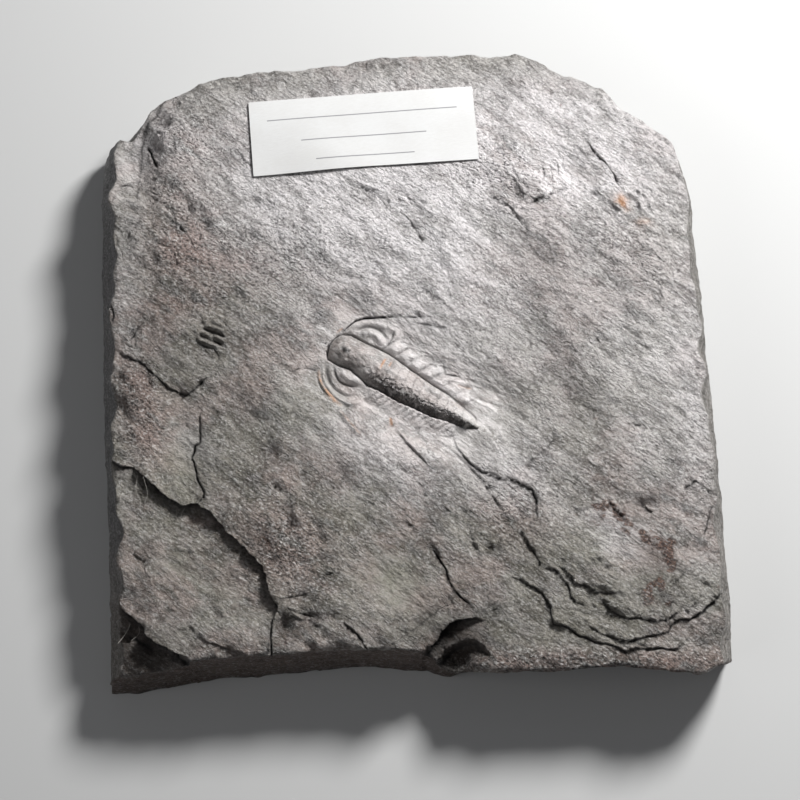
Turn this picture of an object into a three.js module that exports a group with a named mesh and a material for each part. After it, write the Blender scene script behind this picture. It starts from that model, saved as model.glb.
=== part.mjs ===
// Flat piece of shale with a trilobite standing in relief on its face, and a blank paper slip on it.
// The stone lies on its back: +Z out of the face, +Y towards its upper edge, all sizes in mm.
// Points on the face are [x, y], or [x, y, d] where d is the depth of a step or fold there.
import * as THREE from "three";
import { mergeVertices } from "three/addons/utils/BufferGeometryUtils.js";
import { ImprovedNoise } from "three/addons/math/ImprovedNoise.js";

// Driving dimensions
const faceHeight = 17.4;
const bodyLength = 34.6;
const bodyTurn = -30.2;
const bodyStart = [-16.6, 2.9];
const axisHeight = 2.3;
const labelWidth = 48.5;
const labelDepth = 17.3;
const labelThickness = 0.3;
const labelGap = 0.3;
const labelCentre = [-10.5, 50.9];
const labelTurn = 4.6;
const noiseHeight = 0.42;

// How closely each part of the surface is divided
const edgeOnBody = 1.15;
const edgeBesideBody = 1.9;
const edgeOnStep = 1.8;
const edgeOnGround = 6.3;
const edgeOnSide = 5.6;
const edgeOnBack = 18;
const fineStepDepth = 1.2;
const fineStepWidth = 3;
const gridAcross = 20;
const gridDeep = 3;
const refinePasses = 6;

// Outline of the stone, as four sides that meet at its corners
const leftSide = [
  [-63.2, -66.8], [-63.2, -60], [-63.5, -48], [-64.3, -33], [-65.3, -18], [-66.1, 2.4],
  [-66.9, 22.6], [-67.1, 39], [-67.1, 48], [-66.2, 51.3],
];
const topSide = [
  [-66.2, 51.3], [-63.9, 50.8], [-61.7, 53.4], [-58.4, 57.4], [-54.9, 59.8], [-49, 61.6],
  [-46.2, 63.4], [-39.2, 64.5], [-33.5, 65.6], [-20, 66.9], [-10, 68.6], [0, 69.3], [13, 70],
  [22.6, 70.1], [29, 67.8], [35.5, 64.7], [41.3, 61.9], [46, 56.5],
];
const rightSide = [
  [66.9, -65], [66.4, -48.3], [65.4, -28], [63.9, -7.8], [62.4, 12.5], [61.1, 28.7], [60.4, 38],
  [58.6, 45], [56.9, 49], [50, 54], [46, 56.5],
];
const bottomSide = [
  [-63.2, -66.8], [-58, -66.7], [-52, -65.6], [-44.3, -64.2], [-29.3, -63.2], [-15, -62],
  [-4, -62], [3.2, -62.8], [8, -65.7], [15.3, -66.6], [29.2, -66.6], [36, -65.9], [44, -65.5],
  [54, -66.7], [62, -67], [66.9, -65],
];

// How far each side leans in, at the face or at the back. The left and right sides are bevelled
// from the bevel level up, and the left half of the lower side leans out
const leftInsetAtFace = 2.9;
const rightInsetAtFace = 2.6;
const bevelLevel = 0.5;
const topInsetAtBack = 1.6;
const bottomInsetAtBackLeft = -1.6;
const bottomInsetAtBackRight = 5;
const sideRoughness = 0.8;

// Broad swells: centre, radii along and across, turn in degrees, height
const swells = [
  [0, 0, 62, 62, 0, 2.6],
  [-24, -11, 17, 5.5, -50, 1.3],
  [-38, -19, 9, 3.5, -42, 0.9],
  [-50, -15, 8, 13, 0, -0.8],
  [-47, -46, 16, 9, -35, 1.4],
  [-14, -44, 18, 12, -30, 0.9],
  [45, -44, 15, 11, -20, 2.6],
  [17, -12, 14, 8, -45, 1.1],
  [-5, 36, 24, 7, -35, 0.9],
  [52, 4, 9, 22, 10, 1.3],
  [36, 33, 10, 10, 0, 0.8],
  [56, 24, 8, 18, 0, -0.6],
  [16, -60, 18, 7, 0, -1.2],
  [60, -62, 8, 6, 0, -0.8],
  [10, -67, 6.5, 4.5, 0, -3],
  [-20, 68, 50, 9, 4, -2.4],
  [30, 66, 26, 10, -20, -2.6],
  [-62, 20, 7, 40, 0, -1.4],
];

// Folds: polylines with a depth at each point, then the half width
const folds = [
  [[[-37.5, -5, 0], [-36, -10, 1.7], [-33.5, -15, 2.1], [-31.5, -19, 1.9], [-27, -25, 0]], 3.4],
  [[[22, 46, 0], [21, 30, 0.8], [19, 20, 1], [23, 9, 1.8], [28, 0, 1.8], [36, -9, 1.6], [42, -15, 0]], 5],
  [[[40, -28, 0], [46, -31, 1.4], [52, -33, 1.2], [57, -35, 0]], 3],
  [[[-52, 8, 0], [-43, 11, 0.8], [-33, 5, 0.8], [-24, 3, 0]], 4],
  [[[-20, -1, 0], [-12, -7.4, 1.1], [0, -13, 1.2], [10, -17.4, 0.9], [15, -20, 0]], 2.6],
];

// Steps in the bedding, low side on the right of travel: points, width, reach high and low
const steps = [
  // Upper terrace edge, down to the crack at the lower edge
  [[
    [-80, -18, 0.7], [-64.5, -21.3, 0.7], [-61.1, -23.5, 1], [-58.3, -23.8, 1.4], [-55.1, -26.8, 2.1],
    [-51.6, -29.6, 2.4], [-48.1, -31.8, 2.4], [-44.4, -31.6, 2.4], [-40.5, -35.1, 2.4],
    [-36.7, -39.1, 2.4], [-32.9, -43.1, 2.4], [-30.6, -46.4, 2.4], [-29.9, -50.3, 2.3],
    [-28.2, -54, 1.4], [-28.7, -56, 0.6], [-29.2, -58, 0.2], [-29.6, -80, 0.2],
  ], 1.1, 0, 400],
  [[[-30, -53.6, 0], [-28.6, -54.3, 0.6], [-26, -55, 0.9], [-20.9, -56.6, 0.7], [-17.8, -57.3, 0]], 0.9, 0, 7],
  // Lower terrace edge
  [[
    [-80, -48, 4.1], [-63.3, -50.4, 4.1], [-60, -54, 4.1], [-56.8, -56.2, 4.2], [-54.9, -59.9, 4.1],
    [-52.8, -61.3, 3.9], [-48.3, -62.8, 3.7], [-44.9, -65.4, 3.7], [-43, -80, 3.7],
  ], 1.3, 0, 400],
  // Hollow in the lower edge: a sharp lip on its upper left and a lower pocket inside it
  [[
    [0.8, -70, 2.5], [1.6, -63.5, 3.2], [5, -60.4, 3.4], [8, -56.8, 2.8], [10.7, -55.9, 2.2],
    [13.2, -55.6, 1.2], [15, -56.6, 0],
  ], 1.2, 0, 10],
  [[
    [3.4, -70, 2.5], [4.4, -64.5, 3], [8.6, -61, 3.4], [11, -60, 3], [13.6, -60.4, 2.2], [16.6, -64, 0],
  ], 1.4, 0, 10],
  // Corner worn away at the upper left
  [[[-46, 66, 2.5], [-52, 55.5, 4], [-55, 50.5, 4.6], [-55.2, 44, 3], [-55.2, 34, 0]], 9, 0, 400],
  // Ledge on the left and its branch
  [[
    [-63, 2, 0], [-59.7, 0.5, 0.9], [-54.9, -2.6, 1.3], [-51.4, -5.9, 1.5], [-48, -7.7, 1.5],
    [-44.4, -4.9, 1.3], [-41.5, -3.6, 0],
  ], 1, 4, 9],
  [[[-45, -31, 0], [-45.5, -23.3, 0.9], [-44.8, -14, 0.8], [-41.2, -10.7, 1], [-37.3, -13, 0]], 0.9, 6, 3],
  // Edge of the plate in the lower middle and its dark lower right step
  [[
    [-14, -29, 0], [-9.4, -30.7, 0.8], [-1.5, -34.9, 1], [5, -40.5, 1], [7.3, -45.8, 0.8], [8.7, -49.2, 0],
  ], 1.6, 5, 5],
  [[[9.5, -50.5, 0], [7.6, -52.7, 1.3], [3.6, -55.1, 1.3], [-1.2, -58.9, 1.1], [-6, -62.5, 0]], 1.2, 6, 5],
  // Ledge that runs on from the tail
  [[
    [8.5, -16.4, 0], [10.9, -21.2, 1], [14.6, -24.7, 1.2], [20.4, -25.7, 1.3], [24.6, -28.2, 1.1],
    [26.3, -34.6, 0],
  ], 1, 8, 6],
  // Curved ledges round the mound at the lower right
  [[
    [22.7, -37, 0], [25.4, -41.6, 1], [29.1, -45, 1.1], [32.1, -48.2, 1], [33.7, -52, 0.8], [37.6, -53.2, 0],
  ], 1.5, 3, 4],
  [[
    [19.9, -46.5, 0], [25, -48.9, 1], [28.6, -52.7, 1.3], [29.2, -56.7, 1.4], [34.3, -59.3, 1.5],
    [40, -60.7, 1.6], [45.8, -61.3, 1.5], [52.5, -62.2, 1.4], [56.5, -60, 0],
  ], 1.5, 5, 8],
  [[
    [35, -55.2, 0], [39, -58.6, 1], [44.7, -60, 1.1], [48.8, -59.3, 1.1], [53.5, -56.5, 1.1],
    [57.3, -56, 1.3], [60.6, -53.8, 1.4], [66, -48, 1],
  ], 1.5, 4, 5],
  [[[39, -50.6, 0], [42.5, -54.8, 1.1], [47, -55.3, 1.1], [52.8, -55.3, 1], [56, -53.4, 0]], 1.5, 3, 4],
  [[[29, -43.4, 0], [33, -47, 0.9], [37.2, -49.4, 0.9], [44.5, -50.1, 0]], 1.5, 3, 3],
  [[[29.4, -27.5, 0], [32.2, -31.8, 0.9], [36.3, -32, 0.9], [39, -30.7, 0]], 1.5, 3, 4],
  // Lip of rock over the upper cheek
  [[[-14.2, 6.4, 0], [-12, 8.5, 0.9], [-7.4, 9.3, 1.1], [-2.7, 9.8, 1], [5.5, 9.4, 0]], 0.8, 4, 6],
  // Ledge in the upper right
  [[[34, 34.8, 0], [38.5, 37.5, 0.9], [42.4, 34.7, 0.8], [46.6, 29.6, 0]], 1, 3, 5],
];
const fineSteps = steps.filter(([points, width]) => (
  width < fineStepWidth && points.some(([, , depth]) => depth >= fineStepDepth)
));

// Outlines of the raised axis of the trilobite, as [distance from the head, distance aside]
const axisUpper = [
  [-1, 0], [-0.7, 1.6], [0.3, 3], [2, 3.8], [9, 4.2], [11, 4.3], [17, 3.6], [26, 2.9], [30, 2.2],
  [33.5, 1.4], [35, 0.2],
];
const axisLower = [
  [-1, 0], [-0.7, -1.6], [0.5, -3], [3, -3], [5.6, -2.5], [8, -3], [10.4, -3.7], [18, -3.4],
  [25.5, -2.7], [29, -1.8], [33, -1.2], [35, -0.2],
];
const flankWidth = [[0, 0], [9, 0], [12, 3.6], [24, 3.8], [31, 1.6], [35, 0]];
const cheekCentre = [5.6, 3.4];
const cheekRidge = 4.6;
const cheekRim = 6.6;

const noise = new ImprovedNoise();

function mix(a, b, f) {
  return a + (b - a) * f;
}

function smooth(low, high, value) {
  return THREE.MathUtils.smoothstep(value, low, high);
}

// Value at x of a line through [x, y] points
function lineAt(points, x) {
  for (let i = 1; i < points.length; i++) {
    if (x <= points[i][0]) {
      const f = Math.max(0, (x - points[i - 1][0]) / (points[i][0] - points[i - 1][0]));
      return mix(points[i - 1][1], points[i][1], f);
    }
  }
  return points[points.length - 1][1];
}

// Distance to a polyline, positive on the right of travel, and the depth at the nearest point
function nearest(points, x, y) {
  let best = Infinity;
  let bestLean = 0;
  let side = 0;
  let depth = 0;
  for (let i = 1; i < points.length; i++) {
    const [ax, ay, ad] = points[i - 1];
    const [bx, by, bd] = points[i];
    const length = Math.hypot(bx - ax, by - ay);
    const ux = (bx - ax) / length;
    const uy = (by - ay) / length;
    const along = THREE.MathUtils.clamp((x - ax) * ux + (y - ay) * uy, 0, length);
    const distance = Math.hypot(x - ax - ux * along, y - ay - uy * along);
    const right = (x - ax) * uy - (y - ay) * ux;
    const closer = distance < best - 1e-6;
    const same = Math.abs(distance - best) <= 1e-6 && Math.abs(right) > bestLean;
    if (closer || same) {
      best = distance;
      bestLean = Math.abs(right);
      side = Math.sign(right) * distance;
      depth = mix(ad, bd, along / length);
    }
  }
  return { side, distance: best, depth };
}

// Height that a step adds at a point
function stepHeight([points, width, reachHigh, reachLow], x, y) {
  const { side, depth } = nearest(points, x, y);
  const share = reachHigh / (reachHigh + reachLow);
  const down = smooth(-width / 2, width / 2, side);
  const high = reachHigh > 0 ? 1 - smooth(0, reachHigh, -side) : 0;
  const low = 1 - smooth(0, reachLow, side);
  return depth * ((1 - down) * share * high - down * (1 - share) * low);
}

// Place of a point along and across the trilobite
function onBody(x, y) {
  const turn = THREE.MathUtils.degToRad(bodyTurn);
  const dx = x - bodyStart[0];
  const dy = y - bodyStart[1];
  const along = dx * Math.cos(turn) + dy * Math.sin(turn);
  const across = -dx * Math.sin(turn) + dy * Math.cos(turn);
  return [along, across];
}

// Trilobite in relief: raised axis, flanks of the thorax and the two ringed cheeks
function trilobite(x, y) {
  const [along, across] = onBody(x, y);
  if (along < -3 || along > bodyLength + 1 || Math.abs(across) > 13) {
    return 0;
  }
  const upper = lineAt(axisUpper, along);
  const lower = lineAt(axisLower, along);
  const middle = (upper + lower) / 2;
  const half = Math.max(0.05, (upper - lower) / 2);
  const out = Math.abs(across - middle) / half;
  const taper = lineAt([[-1, 0.3], [1, 0.85], [4, 1], [12, 1], [33, 0.5], [35, 0.1]], along);
  const axis = out < 1 ? axisHeight * taper * (1 - out ** 2) ** 0.72 : 0;
  const beside = Math.abs(across) - Math.abs(across > 0 ? upper : lower);
  const width = lineAt(flankWidth, along);
  const flank = width > 0.1 ? 0.75 * (1 - smooth(width * 0.4, width, beside)) : 0;
  const ring = Math.hypot((along - cheekCentre[0]) / 1.12, Math.abs(across) - cheekCentre[1]);
  const open = smooth(11.5, 8.5, along);
  const eye = 0.9 * Math.exp(-((ring / 1.7) ** 2));
  const ridge = 0.6 * Math.exp(-(((ring - cheekRidge) / 0.9) ** 2));
  const rim = 0.55 * Math.exp(-(((ring - cheekRim) / 0.6) ** 2));
  const cheek = out < 1 || beside < 0 ? 0 : open * (eye + ridge + rim);
  return axis + Math.max(out < 1 ? 0 : flank, cheek);
}

// How much a point lies under the paper slip, 1 inside it
function underLabel(x, y) {
  const [dx, dy] = fromLabel(x, y);
  const outside = Math.max(Math.abs(dx) - labelWidth / 2, Math.abs(dy) - labelDepth / 2);
  return 1 - smooth(2, 8, outside);
}

function fromLabel(x, y) {
  const turn = THREE.MathUtils.degToRad(labelTurn);
  const dx = x - labelCentre[0];
  const dy = y - labelCentre[1];
  return [dx * Math.cos(turn) + dy * Math.sin(turn), -dx * Math.sin(turn) + dy * Math.cos(turn)];
}

// Broad form of the face, which the paper slip follows
function ground(x, y) {
  let z = faceHeight;
  for (const [cx, cy, rx, ry, turn, height] of swells) {
    const a = THREE.MathUtils.degToRad(turn);
    const along = (x - cx) * Math.cos(a) + (y - cy) * Math.sin(a);
    const across = -(x - cx) * Math.sin(a) + (y - cy) * Math.cos(a);
    z += height * Math.exp(-((along / rx) ** 2) - (across / ry) ** 2);
  }
  return z;
}

function face(x, y) {
  let z = ground(x, y);
  for (const [points, half] of folds) {
    const { distance, depth } = nearest(points, x, y);
    z -= depth * Math.exp(-((distance / half) ** 2));
  }
  for (const step of steps) {
    z += stepHeight(step, x, y);
  }
  const [along, across] = onBody(x, y);
  const inBody = smooth(-4, -1, along) * smooth(38, 34, along) * smooth(10, 7, Math.abs(across));
  const rough = noise.noise(x / 9, y / 9, 3) + 0.6 * noise.noise(x / 4.3, y / 4.3, 7);
  z += noiseHeight * rough * (1 - underLabel(x, y)) * (1 - 0.8 * inBody);
  return z + trilobite(x, y);
}

// Lengths run along a side, for even spacing
function pointAlong(points, f) {
  const lengths = [0];
  for (let i = 1; i < points.length; i++) {
    const step = Math.hypot(points[i][0] - points[i - 1][0], points[i][1] - points[i - 1][1]);
    lengths.push(lengths[i - 1] + step);
  }
  const wanted = f * lengths[lengths.length - 1];
  let i = 1;
  while (i < points.length - 1 && lengths[i] < wanted) {
    i++;
  }
  const part = THREE.MathUtils.clamp((wanted - lengths[i - 1]) / (lengths[i] - lengths[i - 1]), 0, 1);
  return [mix(points[i - 1][0], points[i][0], part), mix(points[i - 1][1], points[i][1], part)];
}

// Point of the outline's plane for u and v from 0 to 1, blended from the four sides
function inPlan(u, v) {
  const low = pointAlong(bottomSide, u);
  const high = pointAlong(topSide, u);
  const left = pointAlong(leftSide, v);
  const right = pointAlong(rightSide, v);
  const first = [leftSide[0], rightSide[0]];
  const last = [topSide[0], topSide[topSide.length - 1]];
  return [0, 1].map((k) => {
    const sides = mix(low[k], high[k], v) + mix(left[k], right[k], u);
    const corners = mix(mix(first[0][k], first[1][k], u), mix(last[0][k], last[1][k], u), v);
    return sides - corners;
  });
}

// Plan position once the sides lean in, for a level from 0 at the back to 1 at the face
function leaned(u, v, level) {
  const [x, y] = inPlan(u, v);
  const nearX = Math.min(1, Math.abs(x) / 64) ** 7;
  const nearY = Math.min(1, Math.abs(y) / 66) ** 7;
  const atFace = Math.max(0, (level - bevelLevel) / (1 - bevelLevel)) ** 1.3;
  const atBack = 1 - level;
  const bottom = mix(bottomInsetAtBackLeft, bottomInsetAtBackRight, smooth(0, 18, x));
  const insetX = x < 0 ? leftInsetAtFace * atFace : rightInsetAtFace * atFace;
  const insetY = (y < 0 ? bottom : topInsetAtBack) * atBack;
  return [x - Math.sign(x) * insetX * nearX, y - Math.sign(y) * insetY * nearY];
}

const outline = [...bottomSide, ...rightSide.slice(1), ...topSide.toReversed().slice(1),
  ...leftSide.toReversed().slice(1)].map(([x, y]) => [x, y, 0]);

// Surface point for the grid place u, v and level
function surfacePoint(u, v, level) {
  let [x, y] = leaned(u, v, level);
  const rim = nearest(outline, x, y).distance;
  const worn = 0.9 * Math.exp(-rim / 1.1) * (1 + noise.noise(x / 5, y / 5, 1));
  const top = face(x, y) - worn;
  if (level > 0.999) {
    return [x, y, top];
  }
  if (level < 0.001) {
    const scar = Math.max(0, noise.noise(x / 15, y / 15, 11) - 0.05) * 3;
    return [x, y, scar * (1 - smooth(2, 16, rim))];
  }
  const layer = sideRoughness * noise.noise((x + y) / 11, (x - y) / 11, level * 5);
  if (u < 0.001 || u > 0.999) {
    x += layer;
  }
  if (v < 0.001 || v > 0.999) {
    y += layer;
  }
  return [x, y, top * level];
}

// Longest edge allowed near a point
function edgeWanted(x, y, levelA, levelB) {
  if (levelA < 0.001 && levelB < 0.001) {
    return edgeOnBack;
  }
  if (levelA < 0.999 || levelB < 0.999) {
    return edgeOnSide;
  }
  const [along, across] = onBody(x, y);
  const far = Math.abs(across);
  if (along > -1.5 && along < bodyLength + 0.5 && (far < 4.6 || (along < 11.5 && far < 10.5))) {
    return edgeOnBody;
  }
  let wanted = edgeOnGround;
  if (along > -3 && along < bodyLength + 3 && far < 9) {
    wanted = edgeBesideBody;
  }
  for (const [points] of fineSteps) {
    const { distance, depth } = nearest(points, x, y);
    if (depth > 0.4) {
      wanted = Math.min(wanted, edgeOnStep + Math.max(0, distance - 0.9) * 1.4);
    }
  }
  return wanted;
}

// Box grid divided until every edge is short enough, then moved onto the surface
function slabGeometry() {
  const box = new THREE.BoxGeometry(1, 1, 1, gridAcross, gridAcross, gridDeep);
  box.deleteAttribute("normal");
  box.deleteAttribute("uv");
  const grid = mergeVertices(box, 1e-4);
  const position = grid.getAttribute("position");
  const places = [];
  for (let i = 0; i < position.count; i++) {
    places.push([position.getX(i) + 0.5, position.getY(i) + 0.5, position.getZ(i) + 0.5]);
  }
  let faces = [];
  for (let i = 0; i < grid.index.count; i += 3) {
    faces.push([grid.index.getX(i), grid.index.getX(i + 1), grid.index.getX(i + 2)]);
  }
  for (let pass = 0; pass < refinePasses; pass++) {
    faces = divideOnce(places, faces);
  }
  const points = places.flatMap(([u, v, level]) => surfacePoint(u, v, level));
  const slab = new THREE.BufferGeometry();
  slab.setAttribute("position", new THREE.Float32BufferAttribute(points, 3));
  slab.setIndex(faces.flat());
  return slab;
}

function edgeKey(a, b) {
  return a < b ? `${a} ${b}` : `${b} ${a}`;
}

// One round of division: long edges are halved, and so is the longest edge of each face touched
function divideOnce(places, faces) {
  const flat = places.map(([u, v, level]) => [...leaned(u, v, level), level * faceHeight]);
  const length = (a, b) => Math.hypot(...flat[a].map((value, k) => value - flat[b][k]));
  const halves = new Map();
  const sidesOf = ([a, b, c]) => [[a, b], [b, c], [c, a]];
  const addHalf = (a, b) => {
    const key = edgeKey(a, b);
    if (!halves.has(key)) {
      halves.set(key, places.length);
      places.push(places[a].map((value, k) => (value + places[b][k]) / 2));
    }
  };
  for (const face of faces) {
    for (const [a, b] of sidesOf(face)) {
      const x = (flat[a][0] + flat[b][0]) / 2;
      const y = (flat[a][1] + flat[b][1]) / 2;
      if (length(a, b) > edgeWanted(x, y, places[a][2], places[b][2])) {
        addHalf(a, b);
      }
    }
  }
  let changed = true;
  while (changed) {
    const before = halves.size;
    for (const face of faces) {
      const sides = sidesOf(face);
      if (sides.some(([a, b]) => halves.has(edgeKey(a, b)))) {
        sides.sort((p, q) => length(q[0], q[1]) - length(p[0], p[1]));
        addHalf(sides[0][0], sides[0][1]);
      }
    }
    changed = halves.size > before;
  }
  const divided = [];
  for (const face of faces) {
    const cut = sidesOf(face).map(([a, b]) => halves.get(edgeKey(a, b)));
    divided.push(...cutFace(face, cut, length));
  }
  return divided;
}

// A face cut at the halved edges among its three
function cutFace([a, b, c], [ab, bc, ca], length) {
  const count = [ab, bc, ca].filter((mid) => mid !== undefined).length;
  if (count === 0) {
    return [[a, b, c]];
  }
  if (count === 3) {
    return [[a, ab, ca], [ab, b, bc], [ca, bc, c], [ab, bc, ca]];
  }
  if (ab === undefined) {
    return cutFace([b, c, a], [bc, ca, ab], length);
  }
  if (count === 1) {
    return [[a, ab, c], [ab, b, c]];
  }
  if (bc === undefined) {
    return cutFace([c, a, b], [ca, ab, bc], length);
  }
  return length(a, b) > length(b, c)
    ? [[ab, b, bc], [a, ab, c], [ab, bc, c]]
    : [[ab, b, bc], [a, ab, bc], [a, bc, c]];
}

// Paper slip, bent to the broad form of the stone just under it
function labelGeometry() {
  const sheet = new THREE.BoxGeometry(labelWidth, labelDepth, labelThickness, 12, 5, 1);
  sheet.deleteAttribute("normal");
  sheet.deleteAttribute("uv");
  const slip = mergeVertices(sheet, 1e-4);
  slip.rotateZ(THREE.MathUtils.degToRad(labelTurn));
  slip.translate(labelCentre[0], labelCentre[1], labelThickness / 2 + labelGap);
  const position = slip.getAttribute("position");
  for (let i = 0; i < position.count; i++) {
    const x = position.getX(i);
    const y = position.getY(i);
    position.setZ(i, position.getZ(i) + ground(x, y));
  }
  return slip;
}

const slabMesh = new THREE.Mesh(slabGeometry(), new THREE.MeshStandardMaterial({ color: 0x8d8981 }));
slabMesh.name = "fossil_slab";
const labelMesh = new THREE.Mesh(labelGeometry(), new THREE.MeshStandardMaterial({ color: 0xe9e8e4 }));
labelMesh.name = "paper_label";

// Middle of the stone's box over the origin, its back at zero
const bounds = new THREE.Box3().setFromBufferAttribute(slabMesh.geometry.getAttribute("position"));
const middle = bounds.getCenter(new THREE.Vector3());
for (const mesh of [slabMesh, labelMesh]) {
  mesh.geometry.translate(-middle.x, -middle.y, -bounds.min.z);
  mesh.geometry.computeVertexNormals();
}

const part = new THREE.Group();
part.name = "fossil";
part.add(slabMesh, labelMesh);

export default part;
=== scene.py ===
"""A trilobite in relief on a flat slab of shale, with a blank paper slip laid on its upper edge."""

import math

import bmesh
import bpy
import numpy as np
from mathutils import Matrix, Vector, noise


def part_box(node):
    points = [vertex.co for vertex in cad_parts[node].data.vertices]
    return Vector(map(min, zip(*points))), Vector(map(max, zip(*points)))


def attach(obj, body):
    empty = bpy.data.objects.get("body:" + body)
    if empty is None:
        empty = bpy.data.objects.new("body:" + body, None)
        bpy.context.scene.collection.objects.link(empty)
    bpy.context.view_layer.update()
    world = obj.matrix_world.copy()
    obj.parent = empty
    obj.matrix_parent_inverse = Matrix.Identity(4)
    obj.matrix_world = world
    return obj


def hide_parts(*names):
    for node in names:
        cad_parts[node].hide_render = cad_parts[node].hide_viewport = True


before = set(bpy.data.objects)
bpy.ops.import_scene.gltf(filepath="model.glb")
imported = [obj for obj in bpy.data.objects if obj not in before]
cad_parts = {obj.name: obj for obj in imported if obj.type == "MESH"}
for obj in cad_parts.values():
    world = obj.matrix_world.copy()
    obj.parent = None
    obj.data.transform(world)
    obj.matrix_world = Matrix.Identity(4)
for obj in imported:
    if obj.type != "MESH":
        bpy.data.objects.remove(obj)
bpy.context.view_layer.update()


# The slab: one split piece of olive-grey micaceous shale, lying on its back with the face up.
# The trilobite is part of the stone, raised where the rock split round it. The face steps down
# in bedding ledges, and the sides are broken straight across the layers.
MM = 0.001
FACE_HEIGHT = 17.4
# A raised place looks this much further up, per mm, because the face was seen at 15 degrees
SEEN_SHIFT = 0.268

# Outline of the stone in mm, as four sides that meet at its corners
LEFT_SIDE = [
    (-63.2, -66.8), (-63.2, -60), (-63.5, -48), (-64.3, -33), (-65.3, -18), (-66.1, 2.4),
    (-66.9, 22.6), (-67.1, 39), (-67.1, 48), (-66.2, 51.3),
]
TOP_SIDE = [
    (-66.2, 51.3), (-63.9, 50.8), (-61.7, 53.4), (-58.4, 57.4), (-54.9, 59.8), (-49, 61.6),
    (-46.2, 63.4), (-39.2, 64.5), (-33.5, 65.6), (-20, 66.9), (-10, 68.6), (0, 69.3), (13, 70),
    (22.6, 70.1), (29, 67.8), (35.5, 64.7), (41.3, 61.9), (46, 56.5), (50, 54),
    (56.9, 49),
]
RIGHT_SIDE = [
    (66.9, -65), (66.4, -48.3), (65.4, -28), (63.9, -7.8), (62.4, 12.5), (61.1, 28.7), (60.4, 38),
    (58.6, 45), (56.9, 49),
]
BOTTOM_SIDE = [
    (-63.2, -66.8), (-58, -66.7), (-52, -65.6), (-44.3, -64.2), (-29.3, -63.2), (-15, -62),
    (-4, -62), (3.2, -62.8), (8, -65.7), (15.3, -66.6), (29.2, -66.6), (36, -65.9), (44, -65.5),
    (54, -66.7), (62, -67), (66.9, -65),
]
# The left and right sides are bevelled from the bevel level up to the face. At the back the
# top leans in, the right half of the lower side leans in and its left half leans out
LEFT_INSET_AT_FACE = 2.9
RIGHT_INSET_AT_FACE = 2.6
BEVEL_LEVEL = 0.5
TOP_INSET_AT_BACK = 1.6
BOTTOM_INSET_AT_BACK_LEFT = -1.6
BOTTOM_INSET_AT_BACK_RIGHT = 5.0
# The insets grow to full strength at these distances from the middle
FULL_INSET_X = 64
FULL_INSET_Y = 66

# Broad swells of the face: centre, radii along and across, turn in degrees, height
SWELLS = [
    (0, 0, 62, 62, 0, 2.6), (-24, -11, 17, 5.5, -50, 1.3), (-38, -19, 9, 3.5, -42, 0.9),
    (-50, -15, 8, 13, 0, -0.8), (-47, -46, 16, 9, -35, 1.4), (-14, -44, 18, 12, -30, 0.9),
    (45, -44, 15, 11, -20, 2.6), (17, -12, 14, 8, -45, 1.1), (-5, 36, 24, 7, -35, 0.9),
    (52, 4, 9, 22, 10, 1.3), (36, 33, 10, 10, 0, 0.8), (56, 24, 8, 18, 0, -0.6),
    (16, -60, 18, 7, 0, -1.2), (60, -62, 8, 6, 0, -0.8), (10, -67, 6.5, 4.5, 0, -3),
    (-20, 68, 50, 9, 4, -2.4),
    (30, 66, 26, 10, -20, -2.6), (-62, 20, 7, 40, 0, -1.4),
]

# Small lumps and dents, listed the same way
LUMPS = [
    (31, 44, 3.6, 2.2, 20, 0.5), (50.2, 44.6, 2.0, 1.7, 0, 1.2), (12.5, 32, 2.4, 1.6, -30, 0.6),
    (19.3, 63, 1.6, 1.2, 0, -0.8), (32.3, 57.3, 0.8, 0.5, 30, -0.6), (39, 59.2, 0.9, 0.5, 0, -0.6),
    (-6.8, -41.2, 0.7, 0.7, 0, -0.5), (11, -60.5, 2.2, 1.3, 10, 1.0), (14, -38, 2.2, 3.0, 10, 0.7),
    (-26.2, -56.8, 1.8, 1.4, -60, -1.6), (-16, -55.1, 1.6, 0.6, 0, -0.8),
    (58.4, -40.8, 2.0, 1.4, 0, -0.8), (50.8, -32.4, 4.5, 2.2, -10, -0.7),
    (11.2, -9.2, 0.8, 0.6, 0, 0.5), (44.6, 34.4, 1.7, 1.2, 40, 0.6),
    (33.2, 8.5, 1.0, 4.2, -18, 0.8),
    (28, 22, 5, 3, -30, -0.7), (16, 28.4, 5, 2.2, -25, -0.6), (-9, 25.7, 3, 2, 0, -0.5),
    (-40, 20, 9, 6, 30, 0.5), (-20, 30, 8, 5, -20, 0.5), (6, 50, 9, 5, 0, 0.4),
    (-24, -44, 5, 4, 0, 0.7), (-10, -50, 8, 4, -20, 0.5), (34, -24, 6, 4, -30, 0.6),
    (4, -24, 7, 3.5, -25, 0.6), (46, 12, 5, 4, 0, 0.5), (24, 52, 8, 5, 0, 0.5),
    (-52, -42, 5, 4, -30, 0.8), (-40, -52, 8, 3.5, -20, 0.7),
]

# Folds: points with a depth at each, then the half width
FOLDS = [
    ([(-37.5, -5, 0), (-36, -10, 1.7), (-33.5, -15, 2.1), (-31.5, -19, 1.9), (-27, -25, 0)], 3.4),
    ([
        (22, 46, 0), (21, 30, 0.8), (19, 20, 1.0), (23, 9, 1.8), (28, 0, 1.8), (36, -9, 1.6),
        (42, -15, 0),
    ], 5),
    ([(40, -28, 0), (46, -31, 1.4), (52, -33, 1.2), (57, -35, 0)], 3),
    ([(-52, 8, 0), (-43, 11, 0.8), (-33, 5, 0.8), (-24, 3, 0)], 4),
    ([(-20, -1, 0), (-12, -7.4, 1.1), (0, -13, 1.2), (10, -17.4, 0.9), (15, -20, 0)], 2.6),
]

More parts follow.
